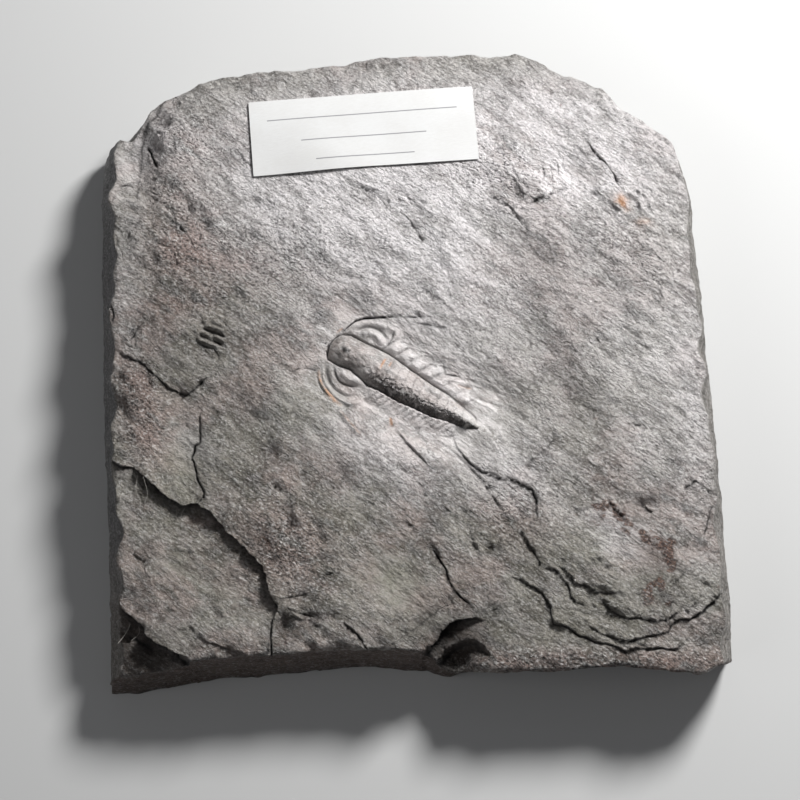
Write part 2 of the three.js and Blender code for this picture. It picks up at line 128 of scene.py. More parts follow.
# Steps in the bedding, the low side on the right of travel: points with the drop at each,
# then the width of the step and how far it reaches on the high side and on the low side
ACROSS_STONE = 400
STEPS = [
    # Upper terrace edge, down to the crack at the lower edge
    ([
        (-80, -18, 0.7), (-64.5, -21.3, 0.7), (-63.2, -22.3, 0.8), (-61.1, -23.5, 1.0),
        (-58.3, -23.8, 1.4), (-57.3, -25.4, 1.8), (-55.1, -26.8, 2.1), (-53.7, -28, 2.3),
        (-51.6, -29.6, 2.4), (-49.5, -31.2, 2.4), (-48.1, -31.8, 2.4), (-46.4, -31.6, 2.4),
        (-45.1, -31.2, 2.4), (-44.4, -31.6, 2.4), (-42.6, -33, 2.4), (-40.5, -35.1, 2.4),
        (-38.8, -37.4, 2.4), (-36.7, -39.1, 2.4), (-34.6, -41.2, 2.4), (-32.9, -43.1, 2.4),
        (-31.5, -44.7, 2.3), (-30.6, -46.4, 2.3), (-30.3, -48.5, 2.3), (-29.9, -50.3, 2.3),
        (-29.2, -52, 2.0), (-28.2, -54, 1.4), (-28.7, -56, 0.6), (-29.2, -58, 0.2),
        (-29.6, -64.6, 0.2),
        (-29.6, -80, 0.2),
    ], 0.5, 0, ACROSS_STONE),
    ([(-28.6, -54.3, 0), (-26, -55, 0.28), (-23.5, -55.6, 0.33), (-20.9, -56.6, 0.28),
      (-17.8, -57.3, 0)], 0.4, 0, 7),
    # Lower terrace edge
    ([
        (-80, -48, 4.1), (-63.3, -50.4, 4.1), (-61.4, -52.6, 4.1), (-60, -54, 4.1),
        (-58.3, -54.8, 4.1), (-56.8, -56.2, 4.2), (-55.7, -58.2, 4.1), (-54.9, -59.9, 4.1),
        (-52.8, -61.3, 3.9), (-50.4, -61.8, 3.8), (-48.3, -62.8, 3.7), (-46.1, -64.2, 3.7),
        (-44.9, -65.4, 3.7), (-43, -80, 3.7),
    ], 0.6, 0, ACROSS_STONE),
    # Hollow in the lower edge: a sharp lip on its upper left and a lower pocket inside it
    ([
        (0.8, -70, 2.5), (1.6, -63.5, 3.2), (3, -61.9, 3.4), (5, -60.4, 3.4), (6.3, -58.7, 3.2),
        (8, -56.8, 2.8), (10.7, -55.9, 2.2), (13.2, -55.6, 1.2), (15, -56.6, 0),
    ], 0.8, 0, 10),
    ([
        (3.4, -70, 2.5), (4.4, -64.5, 3), (6.2, -62.8, 3.4), (8.6, -61, 3.4), (11, -60, 3),
        (13.6, -60.4, 2.2), (15.4, -62, 1.2), (16.6, -64, 0),
    ], 1.1, 0, 10),
    # Corner worn away at the upper left
    ([(-46, 66, 2.5), (-52, 55.5, 4.0), (-55, 50.5, 4.6), (-55.2, 44, 3.0), (-55.2, 34, 0)],
     9, 0, ACROSS_STONE),
    # Ledge on the left, its branch and the plate beside it
    ([
        (-63, 2, 0), (-59.7, 0.5, 0.33), (-56.7, -1.2, 0.44), (-54.9, -2.6, 0.5),
        (-52.5, -4.8, 0.55),
        (-51.4, -5.9, 0.55), (-50, -6.6, 0.55), (-48, -7.7, 0.55), (-46.1, -6.4, 0.55),
        (-44.4, -4.9, 0.5), (-42.7, -4, 0.33), (-41.5, -3.6, 0),
    ], 0.4, 4, 9),
    ([(-45.2, -7.1, 0), (-44.5, -8, 0.28), (-42.9, -9.9, 0.33), (-39.8, -11.6, 0.22),
      (-37.3, -13, 0)],
     0.6, 3, 4),
    ([
        (-45, -31, 0), (-43.6, -28.6, 0.11), (-45, -26, 0.17), (-45.5, -23.3, 0.17),
        (-46, -21.4, 0.17),
        (-45.6, -18.9, 0.17), (-44.7, -17.6, 0.11), (-44.8, -14, 0.11), (-44.6, -11.5, 0),
    ], 0.4, 5, 5),
    ([(-56.5, -18.5, 0), (-54.8, -16.9, 0.17), (-53.6, -15.9, 0.22), (-51.2, -14.4, 0.22),
      (-49.2, -14.1, 0.17), (-45.7, -13.9, 0)], 0.4, 3, 3),
    # Edge of the plate in the lower middle and its dark lower right step
    ([
        (-14, -29, 0), (-12.2, -29.3, 0.14), (-9.4, -30.7, 0.26), (-5, -33.1, 0.26),
        (-1.5, -34.9, 0.31),
        (1.9, -37.4, 0.31), (5, -40.5, 0.31), (5.6, -42.6, 0.26), (7.3, -45.8, 0.26),
        (8.7, -49.2, 0),
    ], 0.4, 5, 5),
    ([
        (9.5, -50.5, 0), (8.3, -51.3, 0.39), (7.6, -52.7, 0.5), (5.9, -53.7, 0.5),
        (3.6, -55.1, 0.55),
        (1.2, -57, 0.55), (-1.2, -58.9, 0.44), (-3.3, -60.5, 0.39), (-6, -62.5, 0),
    ], 0.4, 6, 5),
    # Ledge that runs on from the tail
    ([
        (8.5, -16.4, 0), (9.2, -18.7, 0.28), (10.9, -21.2, 0.39), (12.9, -23.3, 0.44),
        (14.6, -24.7, 0.44),
        (16.6, -24.7, 0.44), (18.7, -25.8, 0.44), (20.4, -25.7, 0.44), (22.2, -26.6, 0.44),
        (24.6, -28.2, 0.44), (25.7, -30.3, 0.33), (26.3, -34.6, 0),
    ], 0.4, 8, 6),
    # Curved ledges round the mound at the lower right
    ([
        (22.7, -37, 0), (24, -39.1, 0.4), (25.4, -41.6, 0.44), (26.7, -44, 0.53), (29.1, -45, 0.53),
        (30.8, -46.4, 0.44), (32.1, -48.2, 0.44), (32.7, -50.6, 0.4), (33.7, -52, 0.4),
        (35.4, -52.9, 0.26), (37.6, -53.2, 0),
    ], 0.4, 3, 4),
    ([
        (19.9, -46.5, 0), (22.6, -47.5, 0.35), (25, -48.9, 0.44), (27.1, -50.3, 0.53),
        (28.6, -52.7, 0.62), (28.8, -55.6, 0.66), (29.2, -56.7, 0.66), (31.6, -57.4, 0.66),
        (34.3, -59.3, 0.66), (37, -60.1, 0.66), (40, -60.7, 0.75), (42, -61.7, 0.75),
        (43.7, -62.3, 0.66),
        (45.8, -61.3, 0.66), (49.4, -61.9, 0.66), (52.5, -62.2, 0.66), (54.5, -61.5, 0.44),
        (56.5, -60, 0),
    ], 0.4, 5, 8),
    ([
        (35, -55.2, 0), (37, -57.5, 0.4), (39, -58.6, 0.44), (41.7, -59.6, 0.53),
        (44.7, -60.2, 0.53),
        (46.8, -60, 0.53), (48.8, -59.3, 0.53), (52.2, -58.4, 0.53), (53.5, -56.5, 0.53),
        (55, -55.5, 0.53),
        (57.3, -56, 0.62), (60, -54.2, 0.66), (62.2, -51.7, 0.62), (66, -48, 0.44),
    ], 0.4, 4, 5),
    ([
        (39, -50.6, 0), (40.5, -53.4, 0.4), (42.5, -54.8, 0.53), (44.6, -55.6, 0.53),
        (47, -55.3, 0.53),
        (49, -55.6, 0.53), (50.7, -56, 0.44), (52.8, -55.5, 0.4), (56, -53.4, 0),
    ], 0.4, 3, 4),
    ([
        (29, -43.4, 0), (31.4, -45, 0.4), (32.8, -46.4, 0.4), (33.4, -48.2, 0.4),
        (35.4, -48.5, 0.4),
        (37.2, -49.4, 0.4), (39.6, -49.9, 0.4), (44.5, -50.1, 0),
    ], 0.4, 3, 3),
    ([
        (29, -27, 0), (29.4, -27.9, 0.18), (30.5, -30, 0.4), (32.2, -31.8, 0.4), (33.2, -32.6, 0.4),
        (36.3, -31.9, 0.4), (38.9, -30.7, 0),
    ], 0.4, 3, 4),
    ([(56.5, -54.5, 0), (58.1, -53, 0.35), (60.1, -49.9, 0.35), (61.4, -48, 0)], 0.4, 3, 3),
    # Ledges right of the trilobite
    ([
        (24, 7.5, 0), (25, 5, 0.22), (25.1, 2.8, 0.22), (26.7, 1.8, 0.22), (27.9, 0.6, 0.17),
        (27.5, -3.7, 0.17),
        (29.2, -7.6, 0.22), (31.5, -11.6, 0.22), (32.5, -13.7, 0.17), (34.4, -15.8, 0),
    ][::-1], 0.4, 5, 3),
    ([(34.6, 1, 0), (33.2, 7.5, 0.26), (30.4, 12.9, 0)], 0.4, 3, 3),
    # Small ledges between the tail and the plate
    ([(3, -30, 0), (6.4, -32.1, 0.22), (9.1, -33.9, 0.22), (11.9, -33.2, 0.22),
      (14.6, -34.4, 0)], 0.4, 3, 3),
    ([
        (11.8, -35, 0), (12, -38.1, 0.33), (13.1, -40.2, 0.33), (14.1, -41.7, 0.33),
        (15.9, -41.9, 0.33),
        (16.8, -40.1, 0.22), (20.6, -39.5, 0),
    ], 0.4, 3, 3),
    ([(-3.4, -26.2, 0), (-1.2, -24.5, 0.17), (0.9, -23.8, 0)], 0.4, 2, 3),
    # Lip of rock over the upper cheek
    ([
        (-14.2, 6.4, 0), (-13.4, 7.3, 0.22), (-12, 8.5, 0.44), (-10.2, 9.1, 0.5), (-7.4, 9.3, 0.5),
        (-5, 9.6, 0.5), (-2.7, 9.8, 0.39), (2, 9.7, 0.17), (5.5, 9.4, 0),
    ], 0.3, 3.5, 4),
    ([(0, 8.2, 0), (2.7, 8, 0.17), (4.8, 7.5, 0.17), (7.9, 7.2, 0.17),
      (10.4, 6.4, 0)], 0.35, 2, 2.5),
    # Ledges in the upper right
    ([
        (34, 34.8, 0), (34.8, 35.3, 0.17), (38.5, 37.5, 0.33), (40.1, 36.6, 0.33),
        (42.4, 34.7, 0.33),
        (44.9, 32, 0.28), (46.6, 29.6, 0),
    ], 0.4, 3, 5),
    ([(41, 35.5, 0), (42.5, 35, 0.22), (44.2, 33.4, 0.28), (45.3, 32.9, 0)], 0.4, 1.5, 2),
    ([(33.5, 48.6, 0), (34.2, 48.2, 0.17), (36.3, 46.9, 0.22), (38.1, 44.7, 0.22),
      (39.2, 41.2, 0)], 0.4, 2.5, 2),
    ([(-39.5, 35.6, 0), (-34.1, 35.9, 0.17), (-32.7, 35.2, 0.17), (-29.8, 34.7, 0)], 0.4, 2, 3),
    ([(-5, 34.8, 0), (0.6, 35.3, 0.17), (2.7, 33.5, 0.22), (5.2, 30.4, 0.17),
      (6.8, 29, 0)], 0.4, 3, 3),
    ([(21, 42, 0), (22, 40.3, 0.4), (24, 37, 0.5), (25.4, 35.5, 0.5), (29, 36.6, 0.4),
      (33.2, 38.6, 0.3), (37, 40, 0)],
     0.4, 4, 3),
    # Thin layer left along the upper edge
    ([(-47, 61.8, 0), (-44, 60.9, 0.28), (-39.5, 61.4, 0.28), (-34.5, 62.4, 0.22),
      (-32.5, 64.4, 0)][::-1],
     0.5, 3, 4),
    ([(-58.1, -41.6, 0), (-55.9, -43.7, 0.22), (-55.5, -45.4, 0.22), (-53.1, -48.2, 0)], 0.4, 3, 3),
    ([(-50.3, -58, 0), (-48, -57.4, 0.22), (-45.8, -57.3, 0.35), (-43.2, -59.9, 0.44),
      (-38.8, -61.6, 0.49),
      (-34.9, -62.9, 0.44), (-31.1, -64.6, 0.26)], 0.4, 4, 4),
]
MOST_WANDER = 0.5
OVERHANG = 1.3
# A step this deep and this narrow hangs over its foot, with painted shadow under it
DEEP_STEP = 2.2
NARROW_STEP = 0.9
SLOPE_STEP = 0.05
UNDER_LEDGE_SHADOW = 0.55
UNDER_LEDGE_SHADOW_AT = 0.8
UNDER_LEDGE_SHADOW_HALF = 0.8
FULL_UNDER_LEDGE_SHADOW_DEPTH = 2.4
# A crack or groove is darkened fully, with dirt and painted shade, from this depth on
FULL_DIRT_AND_SHADE_DEPTH = 0.5

# Roughness of the face in mm: soft swells, crumpled creases, layers and the finest grain
SWELL = 0.5
CRUMPLE = 0.9
CRUMPLE_MIDDLE = 0.25
SCALE_STEPS = 0.8
FLAKE_STEPS = 0.5
FINE_GRAIN = 0.22

# Cracks: points, depth and half width
CRACKS = [
    ([(-14.6, 6.0), (-13.4, 7.2), (-12, 8.4), (-10.2, 9), (-7.4, 9.2), (-5, 9.5),
      (-2.7, 9.7)], 0.68, 0.12),
    ([(-3.4, 9.7), (2, 9.6), (5.5, 9.3)], 0.42, 0.12),
    ([(-17.9, 0.9), (-17.6, 2.6), (-16.6, 4.4), (-15.2, 5.6)], 0.51, 0.12),
    ([(0.5, 8), (2.7, 7.8), (4.8, 7.3), (7.9, 7)], 0.34, 0.12),
    ([(-44.9, -31.6), (-43.6, -28.6), (-45, -26), (-45.5, -23.3), (-46, -21.4), (-45.6, -18.9),
      (-44.7, -17.6), (-44.8, -14), (-44.6, -11.5)], 0.77, 0.15),
    ([(-64.8, -21), (-63.2, -22.1), (-61.1, -23.3), (-58.3, -23.7)], 0.68, 0.18),
    ([(-28.4, -51.7), (-25, -51.3), (-21.5, -50.2)], 0.51, 0.15),
    ([(-27, -53.4), (-23.6, -54.2), (-19.6, -55.6)], 0.42, 0.13),
    ([(-29.1, -56.7), (-28.9, -60), (-29, -64.2)], 0.68, 0.15),
    ([(-49.8, -40.9), (-45.4, -41)], 0.3, 0.15),
    ([(-60, -57.5), (-57.5, -59.5), (-54, -62.5)], 0.51, 0.3),
    ([(4.4, -41), (6.3, -44), (7.6, -46.8), (8.3, -48.9), (10, -51.3), (12.1, -52.9)], 0.68, 0.21),
    ([(40.8, -30.7), (42.2, -32.5), (43.9, -33.9), (45.2, -34.8)], 0.51, 0.18),
    ([(48.2, -30.8), (50, -32.8)], 0.51, 0.24),
    ([(36, -44.2), (37.4, -43.5), (40.4, -44.4), (43.6, -44.7)], 0.42, 0.15),
    ([(56.5, -28), (59.1, -26.3), (61.1, -27.4), (62, -29.4)], 0.42, 0.18),
    ([(56.2, -46), (53.5, -48.4)], 0.38, 0.18),
    ([(62.7, -31), (61.2, -35.6), (60.7, -38.2)], 0.42, 0.18),
    ([(29.7, -15.5), (29.9, -17.3), (24.9, -22.2)], 0.3, 0.15),
    ([(-14.1, -56.5), (-12, -58.2), (-10.6, -60), (-9.1, -62.3)], 0.59, 0.21),
    ([(-19.2, -45.8), (-16.2, -45.8)], 0.34, 0.15),
    ([(-57.4, 49), (-56, 46), (-55, 43.2)], 0.68, 0.3),
    ([(-63, 39.1), (-61.5, 39.6), (-59.8, 39)], 0.42, 0.18),
    ([(-57.2, 37.9), (-54.3, 36.5)], 0.38, 0.18),
    ([(-52.7, 33.6), (-51.4, 33.2), (-50.3, 30.9), (-48, 27.5), (-46.6, 24.8),
      (-45, 25)], 0.34, 0.15),
    ([(-63.3, 28), (-62, 23.9), (-61.6, 22)], 0.34, 0.15),
    ([(-50.8, 24), (-50, 20.8)], 0.3, 0.15),
    ([(-65.6, 11.5), (-63.8, 11.6), (-63.4, 9.7), (-63.8, 8.2)], 0.51, 0.21),
    ([(-59.8, 4.4), (-58.6, 6.8), (-56.6, 8.2)], 0.34, 0.15),
    ([(-37.2, 46.4), (-34.4, 43)], 0.34, 0.15),
    ([(-11.7, 39.7), (-10, 38.4), (-7.5, 36.5), (-5, 33.3)], 0.34, 0.15),
    ([(-1.4, 32.5), (0.6, 28.7), (2.5, 25.5)], 0.3, 0.15),
    ([(17.5, 35.8), (20.5, 34.2), (22.9, 31.2), (25.5, 28.4)], 0.34, 0.18),
    ([(1.2, 15.2), (3.9, 15.2)], 0.3, 0.15),
    ([(5.6, 13.5), (8.8, 10.1)], 0.3, 0.15),
    ([(-17, 15), (-14, 12.5)], 0.3, 0.15),
    ([(-13.7, 18.9), (-11.7, 17.7), (-6.6, 17.5)], 0.3, 0.15),
    ([(37.4, 49.4), (38.9, 46.9), (41.3, 44), (43, 41.3), (43.6, 39.5), (45.2, 37.8)], 0.47, 0.18),
    ([(21.9, 42), (23, 39.8), (25.2, 38.4)], 0.3, 0.15),
    ([(26, 35.6), (28.1, 36.8)], 0.6, 0.25),
    ([(58.9, 27.2), (60.5, 25)], 0.42, 0.18),
    ([(40.3, 19.8), (43.6, 17.4), (43.9, 15.7)], 0.34, 0.18),
    ([(47.8, 16.8), (50.2, 17.7)], 0.34, 0.15),
    ([(52.4, 16), (53.2, 14.1), (51.2, 12.4)], 0.3, 0.15),
    ([(36.8, 6), (38.7, 5), (39.9, 3.7)], 0.34, 0.15),
    ([(45, 6), (50.2, 2.4)], 0.26, 0.18),
    ([(46, -13.8), (48, -14.6)], 0.3, 0.15),
    ([(-42.1, 2.5), (-40.7, -0.3)], 0.42, 0.18),
    ([(-26.4, -2.8), (-24.9, -2.4), (-23, -1.8), (-21.1, -2.2), (-19.6, -2.7)], 0.42, 0.12),
    ([(28.2, 43.8), (28.2, 40.2)], 0.26, 0.12),
    ([(29.6, 43.6), (29.9, 39.8)], 0.26, 0.12),
    ([(31.2, 43.4), (31.5, 39.9)], 0.26, 0.12),
    ([(26.8, 42.4), (33, 41.6)], 0.21, 0.12),
]

# Ledges with an open crack at their foot, named by a point on each
OPEN_LEDGES = [
    (12.9, -23.3), (25.4, -41.6), (27.1, -50.3), (41.7, -59.6), (44.6, -55.6), (32.8, -46.4),
    (-50, -6.6),
]
OPEN_DEPTH = 0.38
OPEN_HALF = 0.15
for line, _, _, _ in STEPS:
    if any(point[:2] in OPEN_LEDGES for point in line):
        CRACKS.append(([point[:2] for point in line], OPEN_DEPTH, OPEN_HALF))

# Lines beside the trilobite, where spines lie in the rock: points, height and half width
SPINES = [
    ([(-15.4, -11), (-12.6, -14.2), (-10.2, -17)], 0.3, 0.28),
    ([(-15.9, -11.5), (-13.2, -14.9), (-11, -17.6)], -0.25, 0.22),
    ([(-9.9, -10.3), (-7.2, -12.3), (-4.3, -14.8)], -0.25, 0.2),
    ([(-4.6, -12.7), (-4.3, -14.4), (-3.6, -13.7)], -0.35, 0.2),
    ([(-3.6, -15.2), (-1.5, -18), (2.6, -22.3), (4.7, -25.1)], -0.35, 0.2),
    ([(-3.1, -15), (-1, -17.8), (3, -22)], 0.2, 0.22),
    ([(0.5, -14.8), (3, -18)], -0.2, 0.2),
    ([(4.4, -16.6), (8.9, -20.2), (14.3, -26), (17.4, -30.7), (18.8, -33.1)], -0.3, 0.2),
    ([(5.1, -16.2), (7.5, -16.6), (8.5, -16.4)], -0.3, 0.16),
    ([(46.4, 36.8), (48.4, 35.4), (49.3, 32.6)], 0.4, 0.35), ([(47.6, 38.2), (50.2, 36.2),
      (51.3, 33)], 0.4, 0.35),
    ([(48.8, 39.4), (51.8, 37.2), (53, 34.4)], 0.35, 0.35),
    ([(3.4, 1), (6.3, 0.2), (9.6, -0.4)], -0.25, 0.2),
    ([(6.5, -1.1), (6.9, -3.3), (9.6, -3.7)], -0.3, 0.2),
    ([(9.3, -5.5), (12.1, -6.2)], -0.3, 0.2),
    ([(13.3, -8.5), (15.4, -9.1), (19.9, -10.9), (22.3, -12)], -0.25, 0.2),
    ([(8.6, -2.2), (13, -4.4), (18.4, -6.4)], 0.18, 0.25),
    ([(5.2, 2.6), (9.8, 1.2), (15, -0.6)], 0.18, 0.25),
    ([(10.4, -7.4), (14.4, -9.6), (18, -11.4)], 0.18, 0.25),
    ([(-6.5, 1.9), (-5, 3.2), (-4.2, 4.8), (-3.7, 6.4)], -0.3, 0.22),
]

# The trilobite: where its head starts, which way it points, and the outlines of its raised axis
# as (distance from the head, distance aside)
BODY_START = (-16.6, 2.9)
BODY_TURN = math.radians(-30.2)
BODY_LENGTH = 34.6
AXIS_HEIGHT = 2.3
AXIS_UPPER = [
    (-1, 0), (-0.7, 1.6), (0.3, 3), (2, 3.8), (5.5, 3.9), (9, 4.2), (11, 4.3), (17, 3.6),
    (22, 3.1), (26, 2.9), (30, 2.2), (33.5, 1.4), (35, 0.2),
]
AXIS_LOWER = [
    (-1, 0), (-0.7, -1.6), (0.5, -3), (3, -3), (5.6, -2.5), (8, -3), (10.4, -3.7), (13, -3.4),
    (18, -3.4), (21, -3), (25.5, -2.7), (29, -1.8), (33, -1.2), (35, -0.2),
]
AXIS_TAPER = [(-1, 0.3), (1, 0.85), (4, 1), (12, 1), (33, 0.5), (35, 0.1)]
LOWER_FLANK = [(9.5, 1), (11.5, 3.6), (24, 3.8), (28, 3.2), (33, 2.6), (35, 2.4)]
# Lobes of the upper flank, and the thin spines that sweep back from them
LOBE_SPACING = 2.95
LOBE_START = 10.65
SPINE_ROOTS = [(11.7, 6.2), (14.7, 6.3), (18, 5.8), (21.1, 5.4), (23.9, 4.9)]
SPINE_AT = [(0.8, 0.9), (4.2, 2.2), (7.8, 2.9)]
# Curved ridges and grooves of the cheeks: points (along, across), height and half width
CHEEK_LINES = [
    ([(0.1, -6.3), (0.9, -7.5), (2.4, -8.7), (4.4, -9.6), (6.4, -10.2), (7.9, -10.35)], 0.45, 0.25),
    ([(0.8, -5.5), (2.2, -7.5), (5, -8.9), (7.4, -9.3), (9.7, -8.9), (10.9, -7.4),
      (10.8, -5.6)], 1.0, 0.6),
    ([(0.85, -4.25), (2.3, -6.3), (4.75, -7.8), (7.3, -7.9), (9, -6.9)], -0.5, 0.3),
    ([(2.3, -4), (4.1, -5.6), (5.9, -6), (8.4, -5.2)], -0.45, 0.25),
    ([(4.0, -4.3), (6.6, -4.4), (9.15, -4)], 0.55, 0.8),
    ([(0.6, 4.6), (2, 6.5), (4.2, 8.25), (6.6, 8.9), (8.9, 9.2), (10.6, 8.2),
      (11, 6.6)], 0.6, 0.65),
    ([(2.2, 5.1), (4.3, 7.3), (7, 7.7), (9.2, 6.8)], -0.35, 0.3),
    ([(3.4, 4.9), (5.3, 6.3), (7.4, 6.1), (9.05, 5.1)], 0.8, 0.75),
]
CHEEK_DISCS = [(5.6, -4.6, 6.8, 6.1, 0, 0.55), (6.2, 5.2, 6.2, 5.0, 0, 0.5)]
# Rings of the axis, the two furrows of the head and its front hollow
RING_SPACING = 2.0
RING_DEPTH = 0.15
RING_HALF = 0.14
FURROWS = (6.4, 9.6)
FURROW_DEPTH = 0.16
FURROW_HALF = 0.5
HOLLOW_DEPTH = 1.0
HOLLOW_AT = (2.5, -0.3)
CREASE_DEPTH = 0.26
CREASE_HALF = 0.22
# Fine ribs of the lower flank, lobes and spines of the upper one
RIB_SPACING = 1.45
RIB_HEIGHT = 0.17
LOWER_FLANK_HEIGHT = 0.85
LOBE_HEIGHT = 0.8
UPPER_FLANK_HEIGHT = 0.2
SPINE_HEIGHT = 0.2
SPINE_HALF = 0.17
CHEEK_HEIGHT = 0.45

# The small ribbed fragment on the left
FRAGMENT_CENTRE = (-42.3, 5.2)
FRAGMENT_TURN = math.radians(-23)
FRAGMENT_HALF = (2.6, 3.2)
FRAGMENT_SPACING = 1.8
FRAGMENT_RIB = 0.42

# Stains, bare patches, painted sheen and painted shade: centre, radii along and across, turn in
# degrees, strength
ROUGH_ZONES = [
    (-27, -40, 12, 9, -40, 1.0), (-50, 30, 9, 16, 0, 0.7), (-56, -14, 5, 12, 20, 0.8),
    (30, -64.6, 34, 2.4, 0, 1.2), (-30, 22, 18, 10, 10, 0.5), (24, 40, 10, 6, -20, 0.7),
    (22, -34, 8, 6, 0, 0.6), (46, 24, 9, 6, -30, 0.6), (10, 44, 14, 6, 0, 0.4),
    (-52, 50, 8, 6, 0, 0.6), (-58, -6, 4, 5, 0, 0.8),
]
SMOOTH_ZONES = [
    (-49, -20, 5, 11, 8, 1.0), (-4, -49, 11, 7, -38, 1.0), (-44, -47, 14, 6, -35, 0.7),
    (31, 42.5, 6.5, 4, -35, 1.0), (44, -42, 9, 6, -20, 0.6), (18, -12, 9, 6, -40, 0.6),
    (-22, -14, 9, 4, -45, 0.5), (-60, 42, 5, 8, 0, 0.7), (50, 0, 6, 10, 0, 0.5),
]
# Painted sheen: the face painted paler and silvery where it catches the lamp, standing in for its
# shine
PAINTED_SHEEN_ZONES = [
    (-56, 50, 7, 8, 0, 0.5), (-18, 33, 18, 8, 0, 0.25),
    (31, 43, 6, 4, -35, 0.6), (43, -41, 5, 2, -20, 0.4), (5, 40, 40, 14, -10, 0.3),
    (46, 4, 10, 16, 0, 0.15),
    (-24, 30, 20, 13, -20, 0.45), (-7, -21, 16, 6, -32, 0.5), (60, 0, 5, 40, 0, 0.4),
    (-61, 25, 4, 25, 0, 0.3),
    (1, -5, 24, 13, -30, 0.7), (-4, 30, 30, 11, -35, 0.5), (30, 52, 12, 7, -30, 0.5),
    (22, -28, 12, 4, -25, 0.3),
    (8, 50, 52, 16, 0, 0.9), (44, 38, 16, 26, 0, 0.45), (4, 18, 34, 18, -20, 0.5),
    (10, -14, 20, 9, -30, 0.45),
    (52, -10, 10, 24, 0, 0.4), (42, -36, 8, 3, -20, 0.5), (-46, -18, 3.4, 6, 20, 0.35),
]
# Dark brown and olive stone, and painted shade: in the hollows, under the big ledge, at the lower
# left corner and over the left and lower parts of the face
DARK_AND_SHADE_ZONES = [
    (-48, 2, 14, 16, 0, 0.2), (20, -56, 40, 10, 0, 0.13),
    (25.5, 39, 2.4, 2, 0, 0.35), (28, 24, 7, 3, -30, 0.3),
    (26, 16, 9, 3.5, -62, 0.28), (33, -3, 7, 3, -50, 0.3), (-44, -28, 3, 8, 20, 0.2),
    (-59, -63, 10, 6.5, -35, 1.3), (-31.5, -39, 7, 2.4, -38, 0.55), (-26, -57.5, 3, 2, -40, 0.6),
    (8.6, -61, 6.5, 4.6, 0, 1.3), (-63, -55, 2, 6, 0, 0.6), (-34, -14, 2.2, 9, 28, 0.3),
    (51, -45, 3.4, 8, 20, 0.45), (37, -9, 6, 3, -40, 0.25), (24, -40, 4, 6, 30, 0.3),
    (30, -64, 30, 2, 0, 0.35), (2, -55.5, 6, 1.4, 38, 0.5),
]
RUST_ZONES = [
    (53.4, -42.5, 1.2, 3.4, 0, 1.0), (50.2, -49.5, 1.6, 3.4, -20, 1.0),
    (53.4, -52.4, 1.4, 0.9, 0, 0.9),
    (39, -12, 2.4, 2.0, 0, 0.5), (57.2, -32.6, 0.9, 2.4, 40, 0.8), (-31, -38.6, 6, 1.6, -30, 0.5),
    (-26.4, -60.6, 1.8, 0.8, -50, 0.8), (63.2, -49, 0.5, 0.5, 0, 0.8),
    (62.1, -55.1, 1.5, 1, 0, 0.5),
    (-22.3, -47.2, 1.3, 1, 0, 0.4), (24, -31, 2.4, 1.2, -20, 0.35), (26.6, 38.6, 0.6, 0.5, 0, 0.7),
    (44.8, 35, 0.7, 1.9, 40, 0.9), (46.8, 26.4, 1, 0.7, 0, 0.4), (51, 22.5, 0.9, 0.7, 0, 0.4),
    (32.3, 57.3, 0.8, 0.4, 30, 0.6), (-58.6, -5, 1.4, 4, 0, 0.45), (-50, 52, 6, 3, 0, 0.2),
    (12.5, 32, 2.6, 1.6, -20, 0.35), (-57, 20, 5, 9, 0, 0.18), (8, 47, 4, 2.4, 0, 0.15),
]
RUST_LINES = [
    ([(37, -30), (41, -32.6), (44.2, -35.3), (46.9, -37), (50.3, -38.8), (53, -40.5),
      (53.6, -44.4)], 1.3, 1.7),
    ([(33.5, -33), (36, -34.2), (39.5, -36.4)], 0.5, 1.6),
    ([(46, -52), (49, -50), (51.4, -47.5)], 0.9, 1.3),
]
OCHRE_LINES = [
    ([(-19.7, -2.6), (-19.6, -4), (-18.9, -5.8), (-17.6, -7.6), (-16.2, -9.1),
      (-15, -10)], 0.9, 0.28),
    ([(-5.6, -0.2), (-6.2, -1.4), (-6.9, -2.8)], 0.9, 0.22),
    ([(-4.2, -0.6), (-4.9, -2.1)], 0.5, 0.2),
    ([(-4.6, -12.5), (-4.3, -14.2)], 0.9, 0.26),
    ([(9.3, -5.6), (12.3, -6.4)], 0.5, 0.22),
    ([(-15.2, -11.2), (-10.6, -16.6)], 0.4, 0.2),
    ([(-16, 5.8), (-14.6, 6.9)], 0.5, 0.2),
    ([(43.6, 36.2), (45, 35.2), (45.8, 34)], 1.0, 1.1),
    ([(48, 30.4), (50.6, 30)], 0.4, 1.0),
]


def line_at(points, at):
    """Value at some distance of a line through (distance, value) points."""
    xs, ys = zip(*points)
    return np.interp(at, xs, ys)


def ramp(start, end, value):
    """0 before start, 1 after end, with soft corners."""
    f = np.clip((value - start) / (end - start), 0, 1)
    return f * f * (3 - 2 * f)


def nearest(line, x, y):
    """Distance to a line, plain and signed on the right of travel, its depth there, share along."""
    line = np.array([(*p, 0) if len(p) == 2 else p for p in line], float)
    gaps = np.hypot(*np.diff(line[:, :2], axis=0).T)
    best = np.full(x.shape, 1e9)
    lean, side, depth, along = (np.zeros(x.shape) for _ in range(4))
    gone = 0
    for (ax, ay, ad), (bx, by, bd), length in zip(line[:-1], line[1:], gaps):
        ux, uy = (bx - ax) / length, (by - ay) / length
        on = np.clip((x - ax) * ux + (y - ay) * uy, 0, length)
        gap = np.hypot(x - ax - ux * on, y - ay - uy * on)
        right = (x - ax) * uy - (y - ay) * ux
        same = (np.abs(gap - best) <= 1e-6) & (np.abs(right) > lean)
        take = (gap < best - 1e-6) | same
        best = np.where(take, gap, best)
        lean = np.where(take, np.abs(right), lean)
        side = np.where(take, np.sign(right) * gap, side)
        depth = np.where(take, ad + (bd - ad) * on / length, depth)
        along = np.where(take, (gone + on) / gaps.sum(), along)
        gone += length
    return best, side, depth, along


